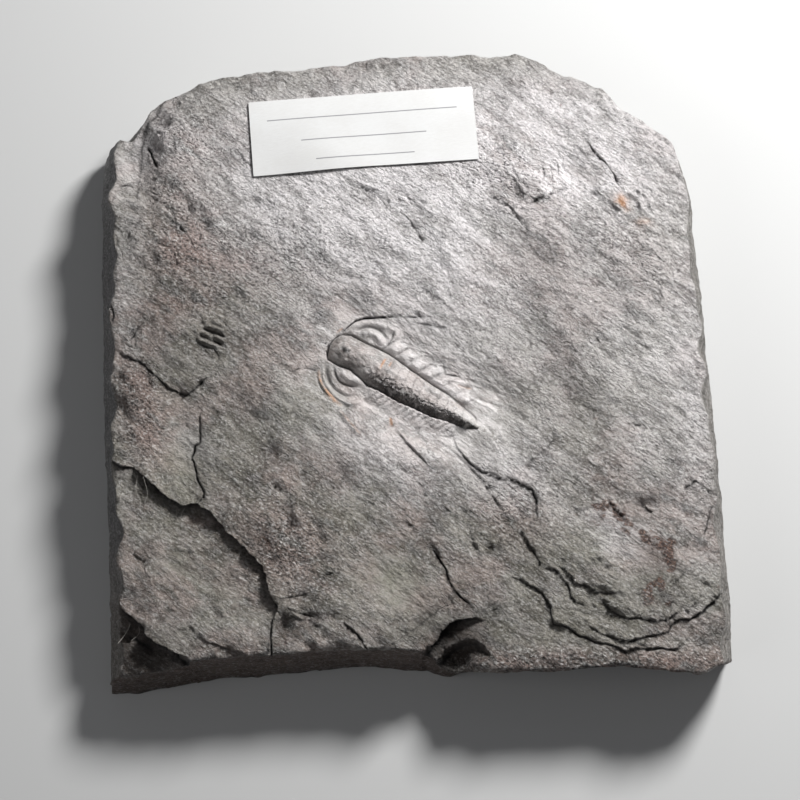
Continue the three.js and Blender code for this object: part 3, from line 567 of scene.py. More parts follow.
def beside(line, reach, x, y):
    """Which points lie within reach of a line's box."""
    xs = [p[0] for p in line]
    ys = [p[1] for p in line]
    inside_x = (x > min(xs) - reach) & (x < max(xs) + reach)
    return inside_x & (y > min(ys) - reach) & (y < max(ys) + reach)


def turned(x, y, centre, turn):
    """Place along and across a direction that starts at centre, its turn in radians."""
    dx, dy = x - centre[0], y - centre[1]
    cos, sin = math.cos(turn), math.sin(turn)
    return dx * cos + dy * sin, dy * cos - dx * sin


def patches(zones, x, y):
    """Sum of soft round patches."""
    total = np.zeros(x.shape)
    for cx, cy, half_long, half_wide, turn, strength in zones:
        along, across = turned(x, y, (cx, cy), math.radians(turn))
        p, q = along / half_long, across / half_wide
        total += strength * np.exp(-p * p - q * q)
    return total


def grooves(lines, x, y):
    """Sum of narrow grooves that fade at both ends."""
    total = np.zeros(x.shape)
    for line, depth, half in lines:
        near = beside(line, half * 4, x, y)
        gap, _, _, along = nearest(line, x[near], y[near])
        fade = ramp(0, 0.15, along) * ramp(1, 0.85, along)
        total[near] += depth * np.exp(-((gap / half) ** 2)) * (0.35 + 0.65 * fade)
    return total


def grain(x, y, long, wide, turn, seed, octaves=4, z=0):
    """Natural roughness between about -1 and 1, drawn out along a direction."""
    along, across = turned(x, y, (0, 0), math.radians(turn))
    p, q, r = along / long, across / wide, np.broadcast_to(z, x.shape) + seed
    return np.array([
        noise.fractal(at, 0.8, 2.1, octaves, noise_basis="PERLIN_ORIGINAL")
        for at in zip(p.tolist(), q.tolist(), r.tolist())
    ])


def layered(value, count):
    """Turns a smooth roughness into thin flat layers with short edges between them."""
    steps = value * count
    whole = np.floor(steps)
    return (whole + ramp(0.38, 0.62, steps - whole)) / count


def on_body(x, y):
    """Place along and across the trilobite."""
    return turned(x, y, BODY_START, BODY_TURN)


def rounded(line, parts=4):
    """The same line with its corners rounded, as a smooth curve through its points."""
    p = np.array([line[0], *line, line[-1]], float)
    curve = []
    for a, b, c, d in zip(p, p[1:], p[2:], p[3:]):
        for t in np.arange(parts) / parts:
            bend = 2 * a - 5 * b + 4 * c - d + t * (3 * (b - c) + d - a)
            curve.append(b + 0.5 * t * (c - a + t * bend))
    return [tuple(q) for q in curve] + [tuple(line[-1])]


CHEEKS = [(rounded(line), height, half) for line, height, half in CHEEK_LINES]


def trilobite(x, y):
    """Height of the fossil, its dark and shaded places, the painted shade in its grooves, and where
    its axis lies.
    """
    along, across = on_body(x, y)
    upper, lower = line_at(AXIS_UPPER, along), line_at(AXIS_LOWER, along)
    middle, half = (upper + lower) / 2, np.maximum(0.05, (upper - lower) / 2)
    aside = (across - middle) / half
    out = np.abs(aside)
    inside = out < 1
    dome = np.clip(1 - np.minimum(out, 1) ** 2, 0, 1) ** 0.72
    bow = along + 0.45 * out ** 2
    uneven = bow + 0.35 * grain(x, y, 1.1, 1.1, 0, 6.5, 2)
    between_rings = np.abs((uneven / RING_SPACING) % 1 - 0.5) * RING_SPACING
    rings = RING_DEPTH * np.exp(-((between_rings / RING_HALF) ** 2))
    rings = rings * ramp(10, 12.5, along) * ramp(34, 30, along)
    furrows = sum(FURROW_DEPTH * np.exp(-(((bow - place) / FURROW_HALF) ** 2)) for place in FURROWS)
    pits = 0.16 * grain(x, y, 0.8, 0.8, 0, 5.5, 3) * ramp(0.7, -0.6, aside)
    front, aside_front = HOLLOW_AT
    dent = np.exp(-(((along - front) / 1.5) ** 2) - ((across - aside_front) / 0.85) ** 2)
    axis = (AXIS_HEIGHT * line_at(AXIS_TAPER, along) - rings - furrows + pits) * dome
    axis = np.where(inside, axis - HOLLOW_DEPTH * dent, 0)
    edge = np.where(across > middle, across - upper, lower - across)
    on_length = ramp(-1.15, -0.85, along) * ramp(BODY_LENGTH + 0.6, BODY_LENGTH - 1, along)
    crease = np.exp(-(((edge - 0.1) / CREASE_HALF) ** 2)) * on_length
    # Flanks: the lower one narrow and faintly ribbed, the upper one a row of lobes with spines
    low_out = np.clip(edge, 0, 9) / np.maximum(line_at(LOWER_FLANK, along), 0.01)
    ribs = RIB_HEIGHT * np.cos(2 * math.pi * (along + 0.6 * edge) / RIB_SPACING)
    low = (LOWER_FLANK_HEIGHT + ribs) * (1 - ramp(0.5, 1.08, low_out))
    low = low * ramp(9.5, 12.5, along) * ramp(34, 26, along)
    wave = np.abs(np.cos(math.pi * (along - 0.5 * edge - LOBE_START) / LOBE_SPACING)) ** 0.6
    lobes = LOBE_HEIGHT * wave * ramp(0.1, 1.3, edge) * ramp(4.4, 2.0, edge)
    lobes *= ramp(8.8, 10.5, along) * (1 - 0.7 * ramp(17, 30, along)) * ramp(33.5, 30, along)
    spines = [
        ([(s + f, a + g) for f, g in SPINE_AT], SPINE_HEIGHT, SPINE_HALF) for s, a in SPINE_ROOTS
    ]
    up = UPPER_FLANK_HEIGHT * ramp(3.6, 0, edge) * ramp(10, 12, along) * ramp(30, 24, along)
    up += lobes + grooves(spines, along, across)
    flank = np.where(across > middle, up, low)
    cheek = patches(CHEEK_DISCS, along, across) * 1.6
    cheek = np.minimum(cheek, CHEEK_HEIGHT) + grooves(CHEEKS, along, across)
    cheek *= ramp(12.6, 9.6, along) * ramp(2.6, 4.2, np.abs(across) + 0.9 * np.maximum(along, 0))
    beside_axis = (edge > 0) * ramp(-0.1, 0.5, edge)
    height = axis - CREASE_DEPTH * crease + (cheek + flank) * beside_axis
    mottle = np.clip(0.55 + 1.5 * grain(x, y, 0.9, 0.6, -30, 8.5, 3), 0, 1)
    # Lower side of the axis darker: brown mottling, with painted shade where it turns from the lamp
    dark_and_shade = inside * ramp(0.1, -0.7, aside) * ramp(8, 13, along) * mottle * 0.8
    # Painted shade in the creases between the lobes
    crease_shade = (1 - wave) ** 2 * ramp(0.1, 1.0, edge) * ramp(4.4, 3.0, edge) * (across > middle)
    crease_shade = crease_shade * ramp(9, 11, along) * ramp(34, 31, along)
    # Painted shade in the hollow at the front of the head
    dark_and_shade += 0.75 * inside * np.exp(-(((along - 2.5) / 1.4) ** 2) - ((across + 0.4) / 0.8) ** 2)
    # Painted shade in the grooves: the crease round the axis, the lobe creases, the rings and the
    # cheek grooves
    lines = crease * np.where(across > middle, 0.4, 0.35)
    lines = lines + 0.5 * crease_shade + 0.3 * inside * rings / RING_DEPTH
    hollows = grooves([c for c in CHEEKS if c[1] < 0], along, across)
    lines += np.clip(-1.7 * hollows, 0, 1) * beside_axis
    return height, dark_and_shade, lines, inside


def fragment(x, y):
    """Height of the small ribbed fragment and the painted shade between its ribs."""
    along, across = turned(x, y, FRAGMENT_CENTRE, FRAGMENT_TURN)
    wave = np.cos(2 * math.pi * across / FRAGMENT_SPACING)
    inside = ramp(1.15, 0.85, np.hypot(along / FRAGMENT_HALF[0], across / FRAGMENT_HALF[1]))
    # Painted shade between the ribs
    return FRAGMENT_RIB * wave * inside, 0.85 * ramp(-0.35, -0.95, wave) * inside


# Where the paper slip lies on the face, turned a few degrees
LABEL_CENTRE = (-10.5, 50.9)
LABEL_TURN = math.radians(4.6)
LABEL_WIDTH = 48.5
LABEL_DEPTH = 17.3


def under_label(x, y):
    """1 under the paper slip, 0 away from it."""
    along, across = turned(x, y, LABEL_CENTRE, LABEL_TURN)
    over_x, over_y = np.abs(along) - LABEL_WIDTH / 2, np.abs(across) - LABEL_DEPTH / 2
    return 1 - ramp(0.5, 5, np.maximum(over_x, over_y))


def ground(x, y):
    """Broad form of the face."""
    return FACE_HEIGHT + patches(SWELLS, x, y)


def stone_face(x, plan_y):
    """Height of the face in mm, its stains, its dirt and painted shade, its painted sheen, and the
    pull inwards under deep ledges.
    """
    broad = ground(x, plan_y)
    y = plan_y + SEEN_SHIFT * (broad - FACE_HEIGHT)
    smooth = np.clip(patches(SMOOTH_ZONES, x, y), 0, 1)
    coarse = np.clip(patches(ROUGH_ZONES, x, y), 0, 1)
    height = broad + patches(LUMPS, x, y)
    # Lines wander a little, as broken edges do
    wx = x + MOST_WANDER * grain(x, y, 4.6, 4.6, 0, 31, 3)
    wy = y + MOST_WANDER * grain(x, y, 4.6, 4.6, 0, 47, 3)
    along, across = on_body(x, y)
    fossil = ramp(-8, -1, along) * ramp(45, 33, along) * ramp(16, 7, np.abs(across))
    wx, wy = x + (wx - x) * (1 - fossil), y + (wy - y) * (1 - fossil)
    for line, half in FOLDS:
        gap, _, depth, _ = nearest(line, x, y)
        height -= depth * np.exp(-((gap / half) ** 2))
    dirt_and_shade = np.zeros(x.shape)
    under = [np.zeros(x.shape), np.zeros(x.shape)]
    ledge_seed = 60
    for line, width, reach_high, reach_low in STEPS:
        near = beside(line, max(reach_high, reach_low) + 1, wx, wy)
        nx, ny = wx[near], wy[near]
        _, side, depth, _ = nearest(line, nx, ny)
        share = reach_high / (reach_high + reach_low)
        ledge_seed += 3
        ragged = min(0.25, 0.4 * width) * grain(nx, ny, 1.8, 1.8, 0, ledge_seed, 3)
        down = ramp(-width / 2, width / 2, side + ragged)
        if max(p[2] for p in line) > DEEP_STEP and width < NARROW_STEP:
            _, further, _, _ = nearest(line, nx + SLOPE_STEP, ny)
            _, higher, _, _ = nearest(line, nx, ny + SLOPE_STEP)
            reach = OVERHANG * np.clip(depth / 3, 0, 1) * down * (1 - ramp(0.2, 3.2, side))
            under[0][near] -= reach * np.clip((further - side) / SLOPE_STEP, -1, 1)
            under[1][near] -= reach * np.clip((higher - side) / SLOPE_STEP, -1, 1)
            # Painted shadow on the ground under the overhang
            painted_shadow = UNDER_LEDGE_SHADOW * np.exp(-(((side - UNDER_LEDGE_SHADOW_AT) / UNDER_LEDGE_SHADOW_HALF) ** 2))
            dirt_and_shade[near] += painted_shadow * np.clip(depth / FULL_UNDER_LEDGE_SHADOW_DEPTH, 0, 1)
        high = ramp(reach_high, 0, -side) if reach_high else np.zeros(nx.shape)
        low = 1 - ramp(0, reach_low, side)
        height[near] += depth * ((1 - down) * share * high - down * (1 - share) * low)
        # Painted shade in a thin line at the foot of each step
        foot_shade = np.exp(-(((side - width * 0.4) / (0.15 + 0.05 * depth)) ** 2))
        uneven = 1.0 + 0.6 * grain(nx, ny, 5, 5, 0, ledge_seed + 1, 2)
        dirt_and_shade[near] += np.clip(depth * 1.3, 0, 0.85) * foot_shade * np.clip(uneven, 0.3, 1)
    cuts = grooves(CRACKS, wx, wy)
    height -= cuts
    # Dirt and painted shade in the cracks
    dirt_and_shade += np.clip(cuts / FULL_DIRT_AND_SHADE_DEPTH, 0, 1)
    spines = grooves(SPINES, x, y)
    height += spines
    # Painted shade in the grooves beside the spines
    dirt_and_shade += np.clip(-spines / FULL_DIRT_AND_SHADE_DEPTH, 0, 0.5)
    seat = under_label(x, y)
    rough = (1 - 0.93 * seat) * (1 - 0.85 * fossil) * (1 - 0.6 * smooth) * (1 + 0.7 * coarse)
    lower_right = ramp(5, 45, x) * ramp(5, -30, y)
    flakes = grain(x, y, 6.0, 2.0, -40, 11) * (1 - lower_right)
    flakes += grain(x, y, 6.0, 2.0, -17, 12) * lower_right
    scales = grain(x, y, 15, 9, -35, 13)
    height += rough * (
        SWELL * grain(x, y, 15, 8, -38, 14, 3)
        + CRUMPLE * (np.abs(grain(x, y, 11, 6, -40, 17, 4)) - CRUMPLE_MIDDLE)
        + SCALE_STEPS * layered(scales, 6)
        + FLAKE_STEPS * layered(flakes, 5)
        + FINE_GRAIN * grain(x, y, 2.4, 1.1, -38, 15, 3)
    )
    height += fossil * 0.03 * grain(x, y, 1.2, 0.8, -38, 16, 2)
    relief, dark_and_shade, lines, axis = trilobite(x, y)
    ribbed, shade_between_ribs = fragment(x, y)
    height += relief + ribbed
    # Painted shade along the fossil's grooves and between the fragment's ribs
    dirt_and_shade += lines + shade_between_ribs
    worn = np.clip(0.7 + 2.2 * grain(x, y, 2.4, 1.6, -30, 21, 3), 0, 1.3)
    rust = np.clip((patches(RUST_ZONES, x, y) + grooves(RUST_LINES, x, y)) * worn, 0, 1)
    ochre = np.clip(grooves(OCHRE_LINES, x, y) * (0.4 + 0.7 * worn), 0, 1)
    # Dark stone and painted shade, from the listed zones and the shaded places of the trilobite
    shade = np.clip(patches(DARK_AND_SHADE_ZONES, x, y) + dark_and_shade, 0, 1)
    # Painted sheen, weaker on the fossil and its axis
    painted_sheen = np.clip(patches(PAINTED_SHEEN_ZONES, x, y), 0, 1) * (1 - 0.4 * axis) * (1 - 0.35 * fossil)
    calm = np.clip(0.8 * fossil * (1 - dark_and_shade) + 0.65 * smooth, 0, 1)
    marks = {
        "dirt_and_shade": np.clip(dirt_and_shade, 0, 1), "rust": rust, "smooth": smooth, "coarse": coarse,
        "shade": shade, "painted_sheen": painted_sheen, "calm": calm, "ochre": ochre,
    }
    return height, marks, under


def point_along(side, f):
    """Point at a share f of the way along a side."""
    points = np.array(side, float)
    gaps = np.hypot(*np.diff(points, axis=0).T)
    at = np.concatenate([[0], np.cumsum(gaps)]) / gaps.sum()
    return np.stack([np.interp(f, at, points[:, 0]), np.interp(f, at, points[:, 1])])


def in_plan(u, v, level):
    """Place in plan for u and v from 0 to 1, at a level from 0 at the back to 1 at the face."""
    first = np.array([LEFT_SIDE[0], RIGHT_SIDE[0]], float)
    last = np.array([TOP_SIDE[0], TOP_SIDE[-1]], float)
    sides = point_along(BOTTOM_SIDE, u) * (1 - v) + point_along(TOP_SIDE, u) * v
    sides += point_along(LEFT_SIDE, v) * (1 - u) + point_along(RIGHT_SIDE, v) * u
    low = np.outer(first[0], 1 - u) + np.outer(first[1], u)
    high = np.outer(last[0], 1 - u) + np.outer(last[1], u)
    x, y = sides - low * (1 - v) - high * v
    near_x = np.minimum(1, np.abs(x) / FULL_INSET_X) ** 7
    near_y = np.minimum(1, np.abs(y) / FULL_INSET_Y) ** 7
    bottom = BOTTOM_INSET_AT_BACK_LEFT
    bottom = bottom + (BOTTOM_INSET_AT_BACK_RIGHT - bottom) * ramp(0, 18, x)
    bevel = np.maximum(0, (level - BEVEL_LEVEL) / (1 - BEVEL_LEVEL)) ** 1.3
    ragged = 1 + 0.22 * np.sin(y / 2.9 + 2 * np.sin(y / 7.3)) + 0.12 * np.sin(y / 1.3 + x)
    inset_x = np.where(x < 0, LEFT_INSET_AT_FACE, RIGHT_INSET_AT_FACE) * bevel * ragged
    inset_y = np.where(y < 0, bottom, TOP_INSET_AT_BACK) * (1 - level)
    return x - np.sign(x) * inset_x * near_x, y - np.sign(y) * inset_y * near_y


GRID = 180
SIDE_LAYERS = 18
BACK_RINGS = [0.985, 0.96, 0.92, 0.86, 0.78]
FINE_STRIP = 0.5
FINEST_STRIP = 0.24
FINE_LINES = [line for line, _, _, _ in STEPS] + [line for line, _, _ in CRACKS + SPINES]


def divide(grid, wanted):
    """Halves the edges of the grid where wanted says so."""
    grid.verts.index_update()
    at = np.array([v.co[:2] for v in grid.verts])
    x, y = in_plan(at[:, 0], at[:, 1], np.ones(len(at)))
    pick = wanted(x, y)
    edges = [e for e in grid.edges if pick[e.verts[0].index] or pick[e.verts[1].index]]
    bmesh.ops.subdivide_edges(grid, edges=edges, cuts=1, use_grid_fill=True)


def with_strips(pick, reach, x, y):
    """Adds the points that lie within reach of a ledge or crack."""
    for line in FINE_LINES:
        near = np.flatnonzero(beside(line, 1, x, y))
        gap = nearest(line, x[near], y[near])[0]
        pick[near[gap < reach]] = True
    return pick


def needs_detail(x, y):
    """The fossil, the fragment and a strip along each ledge and crack."""
    along, across = on_body(x, y)
    pick = (along > -2.5) & (along < 36) & (np.abs(across) < 10.8)
    pick |= np.hypot(x - FRAGMENT_CENTRE[0], y - FRAGMENT_CENTRE[1]) < 3.8
    return with_strips(pick, FINE_STRIP, x, y)


def needs_most_detail(x, y):
    """The trilobite itself and a narrow strip along each ledge and crack."""
    along, across = on_body(x, y)
    head = (along > -1.8) & (along < 12) & (np.abs(across) < 10.4)
    body = (along >= 12) & (along < 35) & (across > -5.2) & (across < 7.6)
    pick = head | body | (np.hypot(x - FRAGMENT_CENTRE[0], y - FRAGMENT_CENTRE[1]) < 3.6)
    return with_strips(pick, FINEST_STRIP, x, y)


def finished(name, shape):
    """The shape as a mesh with this name."""
    mesh = bpy.data.meshes.new(name)
    shape.to_mesh(mesh)
    shape.free()
    return mesh


def put(name, data):
    """A thing in the scene."""
    thing = bpy.data.objects.new(name, data)
    bpy.context.scene.collection.objects.link(thing)
    return thing


def slab_mesh():
    """A grid for the face, divided where needed, extruded down the sides and closed at the back."""
    grid = bmesh.new()
    bmesh.ops.create_grid(grid, x_segments=GRID, y_segments=GRID, size=0.5)
    bmesh.ops.translate(grid, verts=grid.verts, vec=(0.5, 0.5, 1))
    divide(grid, needs_detail)
    divide(grid, needs_most_detail)
    rim = [e for e in grid.edges if e.is_boundary]
    for layer in range(SIDE_LAYERS + len(BACK_RINGS)):
        made = bmesh.ops.extrude_edge_only(grid, edges=rim)["geom"]
        verts = [g for g in made if isinstance(g, bmesh.types.BMVert)]
        rim = [g for g in made if isinstance(g, bmesh.types.BMEdge) and g.is_boundary]
        bmesh.ops.translate(grid, verts=verts, vec=(0, 0, -1 / SIDE_LAYERS))
        if layer >= SIDE_LAYERS:
            ring = layer - SIDE_LAYERS
            shrink = BACK_RINGS[ring] / (BACK_RINGS[ring - 1] if ring else 1)
            middle = Matrix.Translation((-0.5, -0.5, 0))
            bmesh.ops.scale(grid, verts=verts, vec=(shrink, shrink, 1), space=middle)
    back = bmesh.ops.contextual_create(grid, geom=rim)["faces"]
    bmesh.ops.poke(grid, faces=back)
    bmesh.ops.triangulate(grid, faces=[f for f in grid.faces if len(f.verts) > 4])
    return finished("fossil_slab_look", grid)


# Wear and chips along the rim, scars at the back and layers in the broken sides, in mm
WEAR = 0.8
WEAR_REACH = 0.9
CHIP_DEPTH = 2.2
CHIP_REACH = 1.6
SCAR_DEPTH = 3.2
SCAR_REACH = 17
LAYER_SWELL = 0.42
LAYER_RAGGED = 0.3
# Which part of the grid a point is on: 1 on the face, 0 at the back, u and v at their ends
ON_FACE = 0.999
ON_BACK = 0.001
ON_SIDE = 1e-4
WHOLE_OUTLINE = BOTTOM_SIDE + RIGHT_SIDE[1:] + TOP_SIDE[::-1][1:] + LEFT_SIDE[::-1][1:]
run = np.linspace(0, 1, 300)
round_u = np.concatenate([run, run, run * 0, run * 0 + 1])
round_v = np.concatenate([run * 0, run * 0 + 1, run, run])
outline_xy = np.hstack([
    in_plan(round_u, round_v, run.repeat(4) * 0 + level) for level in (0, 0.5, 1)
]).T
cad_middle = np.array([(a + b) / 2 for a, b in zip(*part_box("fossil_slab"))][:2]) / MM
SHIFT = cad_middle - (outline_xy.min(0) + outline_xy.max(0)) / 2


def place_slab(made):
    """Moves the grid onto the surface of the stone and stores its stains, and lays out its map."""
    count = len(made.vertices)
    grid = np.empty(count * 3)
    made.vertices.foreach_get("co", grid)
    u, v, level = grid.reshape(-1, 3).T
    depth = np.clip(level, 0, 1)
    x, y = in_plan(u, v, depth)
    rim = nearest(WHOLE_OUTLINE, x, y)[0]
    height, marks, under = stone_face(x, y)
    chips = np.clip(grain(x, y, 7, 7, 0, 77, 3) - 0.14, 0, 1)
    chips = chips * CHIP_DEPTH * np.exp(-rim / CHIP_REACH)
    worn = WEAR * np.exp(-rim / WEAR_REACH) * (1 + grain(x, y, 5, 5, 0, 72, 2)) + chips
    top = height - worn
    face = level > ON_FACE
    side = (level < ON_FACE) & (level > -ON_BACK)
    back = level <= -ON_BACK
    z = np.where(back, 0, top * depth)
    scar = np.clip(grain(x, y, 16, 11, 25, 73, 3) - 0.02, 0, 1)
    scar = layered(scar, 6) * SCAR_DEPTH * (1 - ramp(1, SCAR_REACH, rim))
    z += np.where(back | (level < ON_BACK), scar, 0)
    layers = LAYER_SWELL * grain(x + y, x - y, 16, 16, 0, 74, 2, z / 1.7)
    layers += LAYER_RAGGED * grain(x + y, x - y, 5, 5, 0, 75, 3, z / 0.9)
    layers *= ramp(1, 0.93, level) * 0.9 + 0.1
    x += np.where((side | back) & ((u < ON_SIDE) | (u > 1 - ON_SIDE)), layers, 0)
    y += np.where((side | back) & ((v < ON_SIDE) | (v > 1 - ON_SIDE)), layers, 0)
    lies_in = face & (rim > 1.5)
    x += np.where(lies_in, under[0], 0)
    y += np.where(lies_in, under[1], 0)
    out = np.stack([x + SHIFT[0], y + SHIFT[1], z], -1) * MM
    made.vertices.foreach_set("co", out.ravel())
    # The sides and back evenly a little darker
    marks["dirt_and_shade"] = np.where(side | back, 0.15, marks["dirt_and_shade"])
    marks["edge"] = np.where(face, 0, 1.0)
    marks["lower"] = np.where(side & (v < ON_SIDE), 1.0, 0)
    marks["left"] = np.where(side & (u < ON_SIDE), ramp(-62, -30, y), 0)
    for name, values in marks.items():
        if name not in ("edge", "lower", "left"):
            values = np.where(face, values, values * 0.3)
        made.attributes.new(name, "FLOAT", "POINT").data.foreach_set("value", values)
    lay_out_map(made, u, v, level)


FRONT_SHARE = (0.78, 0.80)
MAP_GAP = 0.004
STRIP_GAP = 0.003


def lay_out_map(made, u, v, level):
    """The face takes most of the map, the sides four bands above it, the back a strip beside it."""
    layer = made.uv_layers.new(name="OFBake")
    corner_vertex = np.empty(len(made.loops), int)
    made.loops.foreach_get("vertex_index", corner_vertex)
    starts = np.empty(len(made.polygons), int)
    totals = np.empty(len(made.polygons), int)
    made.polygons.foreach_get("loop_start", starts)
    made.polygons.foreach_get("loop_total", totals)
    face_of = np.repeat(np.arange(len(starts)), totals)
    least = np.minimum.reduceat(level[corner_vertex], starts)[face_of]
    most = np.maximum.reduceat(level[corner_vertex], starts)[face_of]
    mid_u = (np.add.reduceat(u[corner_vertex], starts) / totals)[face_of]
    mid_v = (np.add.reduceat(v[corner_vertex], starts) / totals)[face_of]
    cu, cv, cl = u[corner_vertex], v[corner_vertex], level[corner_vertex]
    on_left, on_right = mid_u < ON_SIDE, mid_u > 1 - ON_SIDE
    on_bottom, on_top = mid_v < ON_SIDE, mid_v > 1 - ON_SIDE
    wide, tall = FRONT_SHARE
    map_u = MAP_GAP + cu * (wide - 2 * MAP_GAP)
    map_v = MAP_GAP + cv * (tall - 2 * MAP_GAP)
    is_side = (most > -ON_BACK) & (least > -0.02) & (least < ON_FACE)
    is_back = ~is_side & (least < ON_FACE)
    strip = (1 - tall) / 4
    rows = [(on_left, cv), (on_right, cv), (on_bottom, cu), (on_top, cu)]
    for row, (mask, run) in enumerate(rows):
        pick = is_side & mask
        map_u = np.where(pick, MAP_GAP + run * 0.99, map_u)
        base = tall + strip * row + STRIP_GAP
        map_v = np.where(pick, base + np.clip(cl, 0, 1) * (strip - 2 * STRIP_GAP), map_v)
    map_u = np.where(is_back, wide + MAP_GAP + cu * (1 - wide - 2 * MAP_GAP), map_u)
    layer.uv.foreach_set("vector", np.stack([map_u, map_v], -1).astype(np.float32).ravel())


slab = put("fossil_slab_look", slab_mesh())
place_slab(slab.data)
outwards = bmesh.new()
outwards.from_mesh(slab.data)
bmesh.ops.recalc_face_normals(outwards, faces=outwards.faces)
outwards.to_mesh(slab.data)
outwards.free()
slab.data.shade_smooth()


class Value:
    """A socket in a material. Sums and products with it add Math nodes."""

    def __init__(self, tree, socket=None):
        self.tree = tree
        self.socket = socket

    def make(self, kind, settings=None, sockets=None, out=0):
        """A node of any type: settings first, then the values or links of its sockets."""
        node = self.tree.nodes.new(kind)
        for name, value in (settings or {}).items():
            setattr(node, name, value)
        for name, value in (sockets or {}).items():
            if isinstance(value, Value):
                self.tree.links.new(value.socket, node.inputs[name])
            else:
                node.inputs[name].default_value = value
        return Value(self.tree, node.outputs[out] if node.outputs else None)

    def math(self, operation, first, second=0.0):
        return self.make("ShaderNodeMath", {"operation": operation}, {0: first, 1: second})

    def vectors(self, operation, first, second):
        """Sum, difference, product or dot product of two vectors."""
        plain = 1 if operation == "DOT_PRODUCT" else 0
        settings = {"operation": operation}
        return self.make("ShaderNodeVectorMath", settings, {0: first, 1: second}, out=plain)

    def __add__(self, other):
        return self.math("ADD", self, other)

    def __radd__(self, other):
        return self.math("ADD", other, self)

    def __sub__(self, other):
        return self.math("SUBTRACT", self, other)

    def __rsub__(self, other):
        return self.math("SUBTRACT", other, self)

    def __mul__(self, other):
        return self.math("MULTIPLY", self, other)

    def __rmul__(self, other):
        return self.math("MULTIPLY", other, self)

    def between(self, low, high):
        """0 below low and 1 above high."""
        settings = {"interpolation_type": "SMOOTHSTEP"}
        return self.make("ShaderNodeMapRange", settings, {"Value": self, 1: low, 2: high})

    def stepped(self, count):
        """Thin flat layers with short edges between them, in place of a smooth change."""
        scaled = self * float(count)
        whole = self.math("FLOOR", scaled)
        return (whole + (scaled - whole).between(0.3, 0.7)) * (1 / count)

    def mix(self, first, second):
        """The first colour where this is 0 and the second where it is 1."""
        def colour(value):
            return value if isinstance(value, Value) else (*value, 1)
        sockets = {0: self, 6: colour(first), 7: colour(second)}
        return self.make("ShaderNodeMix", {"data_type": "RGBA"}, sockets, out=2)

    def noise(self, place, turn, long, wide, detail=4.0, rough=0.6):
        """Noise drawn out along a direction, its size in mm."""
        sockets = {
            "Vector": place, "Rotation": (0, 0, math.radians(turn)),
            "Scale": (long * MM, wide * MM, wide * MM),
        }
        stretched = self.make("ShaderNodeMapping", {"vector_type": "TEXTURE"}, sockets)
        sockets = {"Vector": stretched, "Scale": 1.0, "Detail": detail, "Roughness": rough}
        return self.make("ShaderNodeTexNoise", {"normalize": True}, sockets)

    def mark(self, name):
        """A mark stored on the mesh."""
        return self.make("ShaderNodeAttribute", {"attribute_name": name}, out=2)


def new_material(name):
    """An empty material, with its start, its coordinates and its shader."""
    material = bpy.data.materials.new(name)
    material.use_nodes = True
    tree = material.node_tree
    tree.nodes.clear()
    start = Value(tree)
    place = start.make("ShaderNodeTexCoord", out=3)
    shader = start.make("ShaderNodeBsdfPrincipled")
    start.make("ShaderNodeOutputMaterial", sockets={"Surface": shader})
    return material, start, place, shader.socket.node


def connect(shader, name, value):
    shader.id_data.links.new(value.socket, shader.inputs[name])


# Linear colours of the stone, its roughness, and the size and bend of its mica flakes in mm
SHALE_DARK = (0.105, 0.094, 0.082)
SHALE_MID = (0.300, 0.278, 0.254)
SHALE_LIGHT = (0.60, 0.578, 0.566)
SHALE_OLIVE = (0.236, 0.226, 0.182)
SHALE_PINK = (0.300, 0.220, 0.190)
# Dark brown of the stone, also used as painted shade
BROWN_AND_SHADE = (0.044, 0.034, 0.027)
# Silvery colour of the painted sheen
PAINTED_SHEEN_SILVER = (0.78, 0.745, 0.75)
RUST = (0.165, 0.088, 0.058)
RUST_DARK = (0.050, 0.030, 0.026)
OCHRE = (0.50, 0.25, 0.12)
# Colour of dirt and painted shade in the cracks and grooves
CRACK_DIRT_AND_SHADE = (0.012, 0.010, 0.009)
BROKEN_SIDE = (0.150, 0.136, 0.120)
LOWER_SIDE = (0.100, 0.056, 0.040)
LEFT_SIDE_BLUE = (0.115, 0.120, 0.136)
# Colour of the painted glints
PAINTED_GLINT = (0.90, 0.89, 0.87)
SHALE_ROUGHNESS = 0.46
FLAKE_LONG = 1.7
FLAKE_WIDE = 0.8
FLAKE_BEND = 0.55


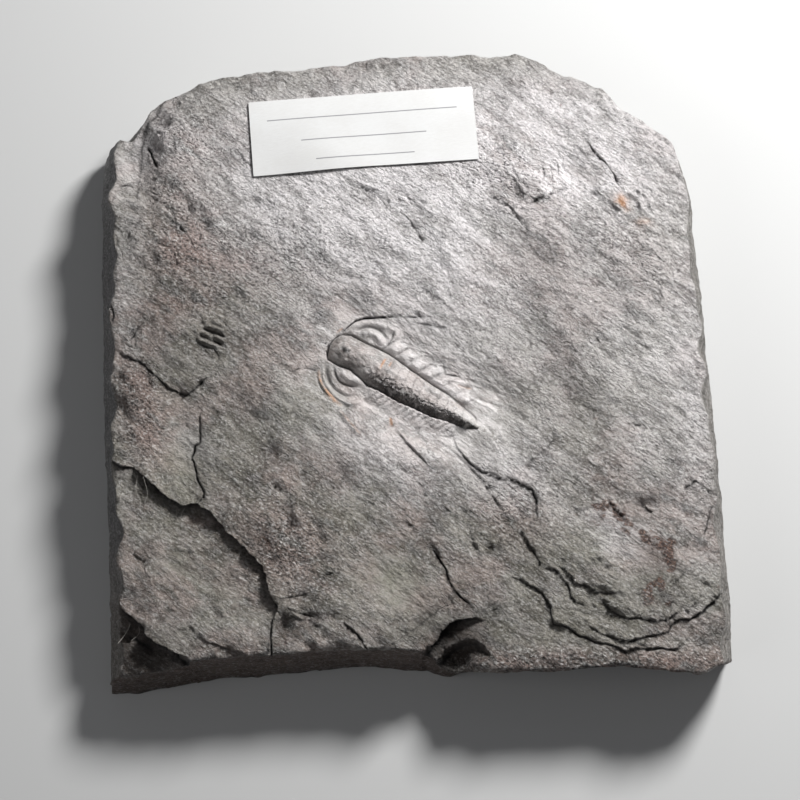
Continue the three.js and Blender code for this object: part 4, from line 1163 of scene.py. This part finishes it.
def shale():
    """Grey shale with olive and pinkish areas, rust stains, painted sheen, dirt and painted shade
    in the cracks and painted mica glints.
    """
    material, start, place, shader = new_material("shale")
    smooth, coarse, shade = start.mark("smooth"), start.mark("coarse"), start.mark("shade")
    dirt_and_shade, rust = start.mark("dirt_and_shade"), start.mark("rust")
    edge, painted_sheen = start.mark("edge"), start.mark("painted_sheen")
    broad = start.noise(place, 20, 26, 18, 3)
    patch = start.noise(place, -35, 9, 4.5, 5, 0.62)
    flake = start.noise(place, -36, 4.5, 1.7, 6, 0.6)
    streak = start.noise(place, -38, 1.7, 0.55, 4, 0.65)
    scale = start.noise(place, -38, 7.5, 3.6, 6, 0.58)
    grit = start.noise(place, 0, 0.6, 0.5, 3, 0.8)
    speck = start.noise(place, -20, 0.75, 0.5, 2, 0.5)
    # Mica flakes: bent long cells, each with its own grey and its own tilt
    sockets = {"Vector": place, "Scale": 1 / MM, "Detail": 3.0}
    bend = start.make("ShaderNodeTexNoise", sockets=sockets, out=1)
    bend = start.vectors("MULTIPLY", bend, (FLAKE_BEND * MM,) * 3)
    bent = start.vectors("ADD", place, bend)
    sockets = {
        "Vector": bent, "Rotation": (0, 0, math.radians(-38)),
        "Scale": (FLAKE_LONG * MM, FLAKE_WIDE * MM, FLAKE_WIDE * MM),
    }
    flake_place = start.make("ShaderNodeMapping", {"vector_type": "TEXTURE"}, sockets)
    cells = start.make("ShaderNodeTexVoronoi", sockets={"Vector": flake_place, "Scale": 1.0}, out=1)
    grey = start.vectors("DOT_PRODUCT", cells, (0.5, 0.5, 0))
    calm = start.mark("calm")
    tone = patch.between(0.42, 0.58) * 0.4 + flake.between(0.42, 0.58) * 0.25
    tone = tone + grit.between(0.42, 0.58) * 0.2 + grey * 0.15
    tone = (tone * 0.8 + scale.between(0.42, 0.58) * 0.2).between(0.25, 0.68)
    colour = tone.mix(SHALE_DARK, SHALE_MID)
    # Light flecks of the grain, made stronger under the painted sheen
    bright = (streak * 0.45 + grit * 0.3 + grey * 0.25).between(0.49, 0.60)
    colour = (bright * (0.35 + painted_sheen * 0.5)).mix(colour, SHALE_LIGHT)
    olive = (broad.between(0.45, 0.62) * 0.8 + smooth) * 0.6 * (1 - coarse) * (1 - painted_sheen * 0.7)
    colour = olive.mix(colour, SHALE_OLIVE)
    pink = (coarse * 0.9 + (1 - broad).between(0.46, 0.62) * 0.55) * patch.between(0.36, 0.54)
    colour = (pink * 0.85).mix(colour, SHALE_PINK)
    # Painted sheen: paler, silvery colour where the face catches the lamp
    colour = (painted_sheen * (0.5 + tone * 0.35)).mix(colour, PAINTED_SHEEN_SILVER)
    bands = start.make("ShaderNodeMapping", sockets={"Vector": place, "Scale": (60, 60, 1500)})
    bands = start.make("ShaderNodeTexNoise", sockets={"Vector": bands, "Scale": 1.0, "Detail": 4.0})
    side = bands.between(0.40, 0.60).mix(BROKEN_SIDE, SHALE_MID)
    side = (start.mark("lower") * 0.85).mix(side, LOWER_SIDE)
    side = (start.mark("left") * 0.7).mix(side, LEFT_SIDE_BLUE)
    colour = (edge * 0.85).mix(colour, side)
    # Dark brown stone and painted shade
    colour = (shade * (0.55 + patch * 0.7)).mix(colour, BROWN_AND_SHADE)
    stain = (rust * (0.5 + patch * 0.9)).between(0.2, 0.7)
    rusty = grit.between(0.45, 0.60).mix(RUST_DARK, RUST)
    colour = (stain * 0.85).mix(colour, rusty)
    colour = (start.mark("ochre") * 0.8).mix(colour, OCHRE)
    # Painted glints: small white specks where mica flakes catch the lamp
    glint = speck.between(0.57, 0.64) * (1 - dirt_and_shade) * (1 - shade * 0.6) * (1 - calm)
    colour = (glint * (0.22 + coarse * 0.25)).mix(colour, PAINTED_GLINT)
    # Dark specks: dark grains, with painted shade in the small pits of the bump
    pit_shade = (1 - speck).between(0.56, 0.63)
    colour = (pit_shade * (0.35 + coarse * 0.55) * (1 - calm)).mix(colour, CRACK_DIRT_AND_SHADE)
    # Dirt and painted shade in the cracks, grooves and under the ledges
    colour = dirt_and_shade.mix(colour, CRACK_DIRT_AND_SHADE)
    connect(shader, "Base Color", colour)
    dull = SHALE_ROUGHNESS + (patch - 0.5) * 0.4 + (grey - 0.5) * 0.3
    connect(shader, "Roughness", dull + dirt_and_shade * 0.3 - painted_sheen * 0.14)
    centre = Value(start.tree, cells.socket.node.outputs["Position"])
    tilt = start.vectors("SUBTRACT", cells, (0.5, 0.5, 0.5))
    off = start.vectors("SUBTRACT", flake_place, centre)
    facet = start.vectors("DOT_PRODUCT", tilt, off)
    lively = (1 - calm * 0.85) * (1 + coarse * 0.3)
    layers = scale.stepped(22) * 7 + flake.stepped(14) * 1.8
    relief = (layers + streak * 0.6 + grit * 0.6 + facet * 0.8) * lively
    relief = relief + bands * 0.8 * edge + speck * coarse * 1.3
    sockets = {"Height": relief, "Distance": MM, "Strength": 1.0}
    connect(shader, "Normal", start.make("ShaderNodeBump", sockets=sockets))
    return material


slab.data.materials.append(shale())
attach(slab, "root")
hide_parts("fossil_slab")


# The paper slip: a blank white specimen slip with thin grey rules, laid along the upper edge.
# It is a thin sheet that follows the swell of the stone, its lower edge lifting a little in waves.
PAPER_THICKNESS = 0.26
PAPER_GAP = 0.28
EDGE_WAVE = 0.22
WAVE_STRETCH = 3.9
CORNER_WEAR = 0.998


def slip_height(x, y, across):
    """Underside of the paper over the stone. It lifts in soft waves towards its lower edge."""
    lift = ramp(0.2, -1, across)
    wave = 0.5 + 0.5 * np.sin(x / WAVE_STRETCH + 0.6)
    return ground(x, y) + PAPER_GAP + EDGE_WAVE * lift * wave


def paper_mesh():
    sheet = bmesh.new()
    bmesh.ops.create_grid(sheet, x_segments=72, y_segments=26, size=0.5)
    bmesh.ops.scale(sheet, verts=sheet.verts, vec=(LABEL_WIDTH, LABEL_DEPTH, 1))
    corners = [v for v in sheet.verts if len(v.link_edges) == 2]
    for corner in corners:
        corner.co.x *= CORNER_WEAR
    made = bmesh.ops.extrude_face_region(sheet, geom=list(sheet.faces))["geom"]
    upper = [g for g in made if isinstance(g, bmesh.types.BMVert)]
    bmesh.ops.translate(sheet, verts=upper, vec=(0, 0, PAPER_THICKNESS))
    bmesh.ops.recalc_face_normals(sheet, faces=sheet.faces)
    cos, sin = math.cos(LABEL_TURN), math.sin(LABEL_TURN)
    for vert in sheet.verts:
        dx, dy, dz = vert.co
        x = LABEL_CENTRE[0] + dx * cos - dy * sin
        y = LABEL_CENTRE[1] + dx * sin + dy * cos
        z = slip_height(np.array([x]), np.array([y]), np.array([2 * dy / LABEL_DEPTH]))[0]
        vert.co = Vector((x + SHIFT[0], y + SHIFT[1], z + dz)) * MM
    return finished("paper_label_look", sheet)


PAPER_WHITE = (0.51, 0.51, 0.505)
PAPER_WARM = (0.48, 0.476, 0.467)
RULE_GREY = (0.12, 0.12, 0.13)
RULES = [(3.8, 20.5), (-1.4, 13.5), (-6.0, 10.6)]
RULE_HALF = 0.13


def paper():
    """White paper with a faint fibre and three thin rules."""
    material, start, place, shader = new_material("paper")
    fibre = start.noise(place, 15, 1.2, 0.25, 4, 0.6)
    cloud = start.noise(place, 0, 9, 9, 2)
    colour = (fibre * 0.5 + cloud * 0.5).between(0.35, 0.65).mix(PAPER_WARM, PAPER_WHITE)
    middle = [(LABEL_CENTRE[0] + SHIFT[0]) * MM, (LABEL_CENTRE[1] + SHIFT[1]) * MM, 0]
    sockets = {"Vector": place, "Location": middle, "Rotation": (0, 0, LABEL_TURN)}
    on_slip = start.make("ShaderNodeMapping", {"vector_type": "TEXTURE"}, sockets)
    split = start.make("ShaderNodeSeparateXYZ", sockets={0: on_slip})
    across = Value(split.tree, split.socket.node.outputs[1])
    for height, half in RULES:
        off_line = start.math("ABSOLUTE", across - height * MM)
        off_end = start.math("ABSOLUTE", split)
        rule = start.math("LESS_THAN", off_line, RULE_HALF * MM)
        rule = rule * start.math("LESS_THAN", off_end, half * MM)
        colour = (rule * 0.75).mix(colour, RULE_GREY)
    connect(shader, "Base Color", colour)
    shader.inputs["Roughness"].default_value = 0.85
    sockets = {"Height": fibre, "Distance": MM * 0.03, "Strength": 1.0}
    connect(shader, "Normal", start.make("ShaderNodeBump", sockets=sockets))
    return material


slip = put("paper_label_look", paper_mesh())
slip.data.materials.append(paper())
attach(slip, "root")
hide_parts("paper_label")


# Root fibres: a few dry whitish hair roots that cling to the stone under the big ledge and at
# the lower left corner. Each is a thin thread held by the dirt in the rock.
ROOTS = [
    ([(-57.5, -25), (-57.9, -28), (-56.9, -30.5), (-57.2, -33)], 0.05),
    ([(-56.3, -25.6), (-55.4, -29), (-56.2, -31.4)], 0.04),
    ([(-58.4, -24.4), (-57.2, -27.2), (-56.1, -28.4)], 0.04),
    ([(-49.2, -32), (-49.3, -33.8), (-48.4, -35.6)], 0.045),
    ([(-47.6, -32.2), (-48.3, -33.6), (-47.6, -34.8)], 0.04),
    ([(-58.9, -55.6), (-59.5, -57.3), (-61.4, -60)], 0.11),
    ([(-57, -56.4), (-56.9, -58), (-58.4, -59.6)], 0.06),
]
ROOT_SIDES = 6
ROOT_LIFT = 0.12
ROOT_COLOUR = (0.42, 0.40, 0.36)


def root_fibres():
    """Thin round threads that start under the ledge and lie over the stone below it."""
    threads = bmesh.new()
    for line, radius in ROOTS:
        path = np.array(rounded(line, 5))
        height = stone_face(path[:, 0], path[:, 1])[0] + ROOT_LIFT + radius
        taut = np.interp(np.arange(len(path)), [0, len(path) - 1], height[[0, -1]])
        height = np.maximum(height, taut)
        places = [Vector((x + SHIFT[0], y + SHIFT[1], z)) * MM for (x, y), z in zip(path, height)]
        rings = []
        for i, place in enumerate(places):
            ahead = places[min(i + 1, len(places) - 1)] - places[max(i - 1, 0)]
            thin = radius * (1 - 0.6 * i / len(places)) * MM
            turn = Matrix.Translation(place) @ ahead.to_track_quat("Z", "Y").to_matrix().to_4x4()
            is_end = i in (0, len(places) - 1)
            made = bmesh.ops.create_circle(
                threads, cap_ends=is_end, radius=thin, segments=ROOT_SIDES, matrix=turn)
            rings.append(made["verts"])
        for first, second in zip(rings, rings[1:]):
            for k in range(ROOT_SIDES):
                after = (k + 1) % ROOT_SIDES
                threads.faces.new((first[k], first[after], second[after], second[k]))
    bmesh.ops.recalc_face_normals(threads, faces=threads.faces)
    mesh = finished("root_fibres", threads)
    mesh.shade_smooth()
    return mesh


roots = put("root_fibres", root_fibres())
dry_root, start, place, shader = new_material("dry_root")
connect(shader, "Base Color", start.noise(place, 0, 0.8, 0.8).mix(ROOT_COLOUR, SHALE_MID))
shader.inputs["Roughness"].default_value = 0.8
roots.data.materials.append(dry_root)
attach(roots, "root")


# Floor, light and camera. The stone lies on a pale table under a soft light from the upper right,
# and the camera looks down on it from a little below its lower edge.
FLOOR_GREY = (0.46, 0.46, 0.455)
SKY = (0.9, 0.93, 1.0)
SKY_STRENGTH = 0.10
floor_grid = bmesh.new()
bmesh.ops.create_grid(floor_grid, x_segments=1, y_segments=1, size=2.0)
floor = put("floor", finished("floor", floor_grid))
floor_paint, _, _, floor_shader = new_material("floor")
floor_shader.inputs["Base Color"].default_value = (*FLOOR_GREY, 1)
floor_shader.inputs["Roughness"].default_value = 0.9
floor.data.materials.append(floor_paint)

TARGET = Vector((-2.6 + SHIFT[0], -8.8 + SHIFT[1], FACE_HEIGHT)) * MM
ELEVATION = math.radians(75)
DISTANCE = 0.650
LENS = 138.8


def add_light(name, direction, distance, size, power):
    """A round soft light, aimed at the stone."""
    lamp = bpy.data.lights.new(name, "AREA")
    lamp.shape = "DISK"
    lamp.size = size
    lamp.energy = power
    held = put(name, lamp)
    held.location = TARGET + Vector(direction).normalized() * distance
    held.rotation_euler = (TARGET - held.location).to_track_quat("-Z", "Y").to_euler()


add_light("key", (0.50, 0.58, 0.66), distance=0.46, size=0.13, power=4.2)
add_light("fill", (-1.0, -0.4, 0.8), distance=1.2, size=0.9, power=2.5)
world = bpy.data.worlds.new("studio")
world.use_nodes = True
sky = world.node_tree.nodes["Background"]
sky.inputs["Color"].default_value = (*SKY, 1)
sky.inputs["Strength"].default_value = SKY_STRENGTH
bpy.context.scene.world = world
bpy.context.scene.view_settings.view_transform = "Standard"

lens = bpy.data.cameras.new("camera")
lens.lens = LENS
lens.sensor_width = 36
lens.clip_start = 0.01
camera = put("camera", lens)
camera.location = TARGET + Vector((0, -math.cos(ELEVATION), math.sin(ELEVATION))) * DISTANCE
camera.rotation_euler = (TARGET - camera.location).to_track_quat("-Z", "Y").to_euler()
bpy.context.scene.camera = camera
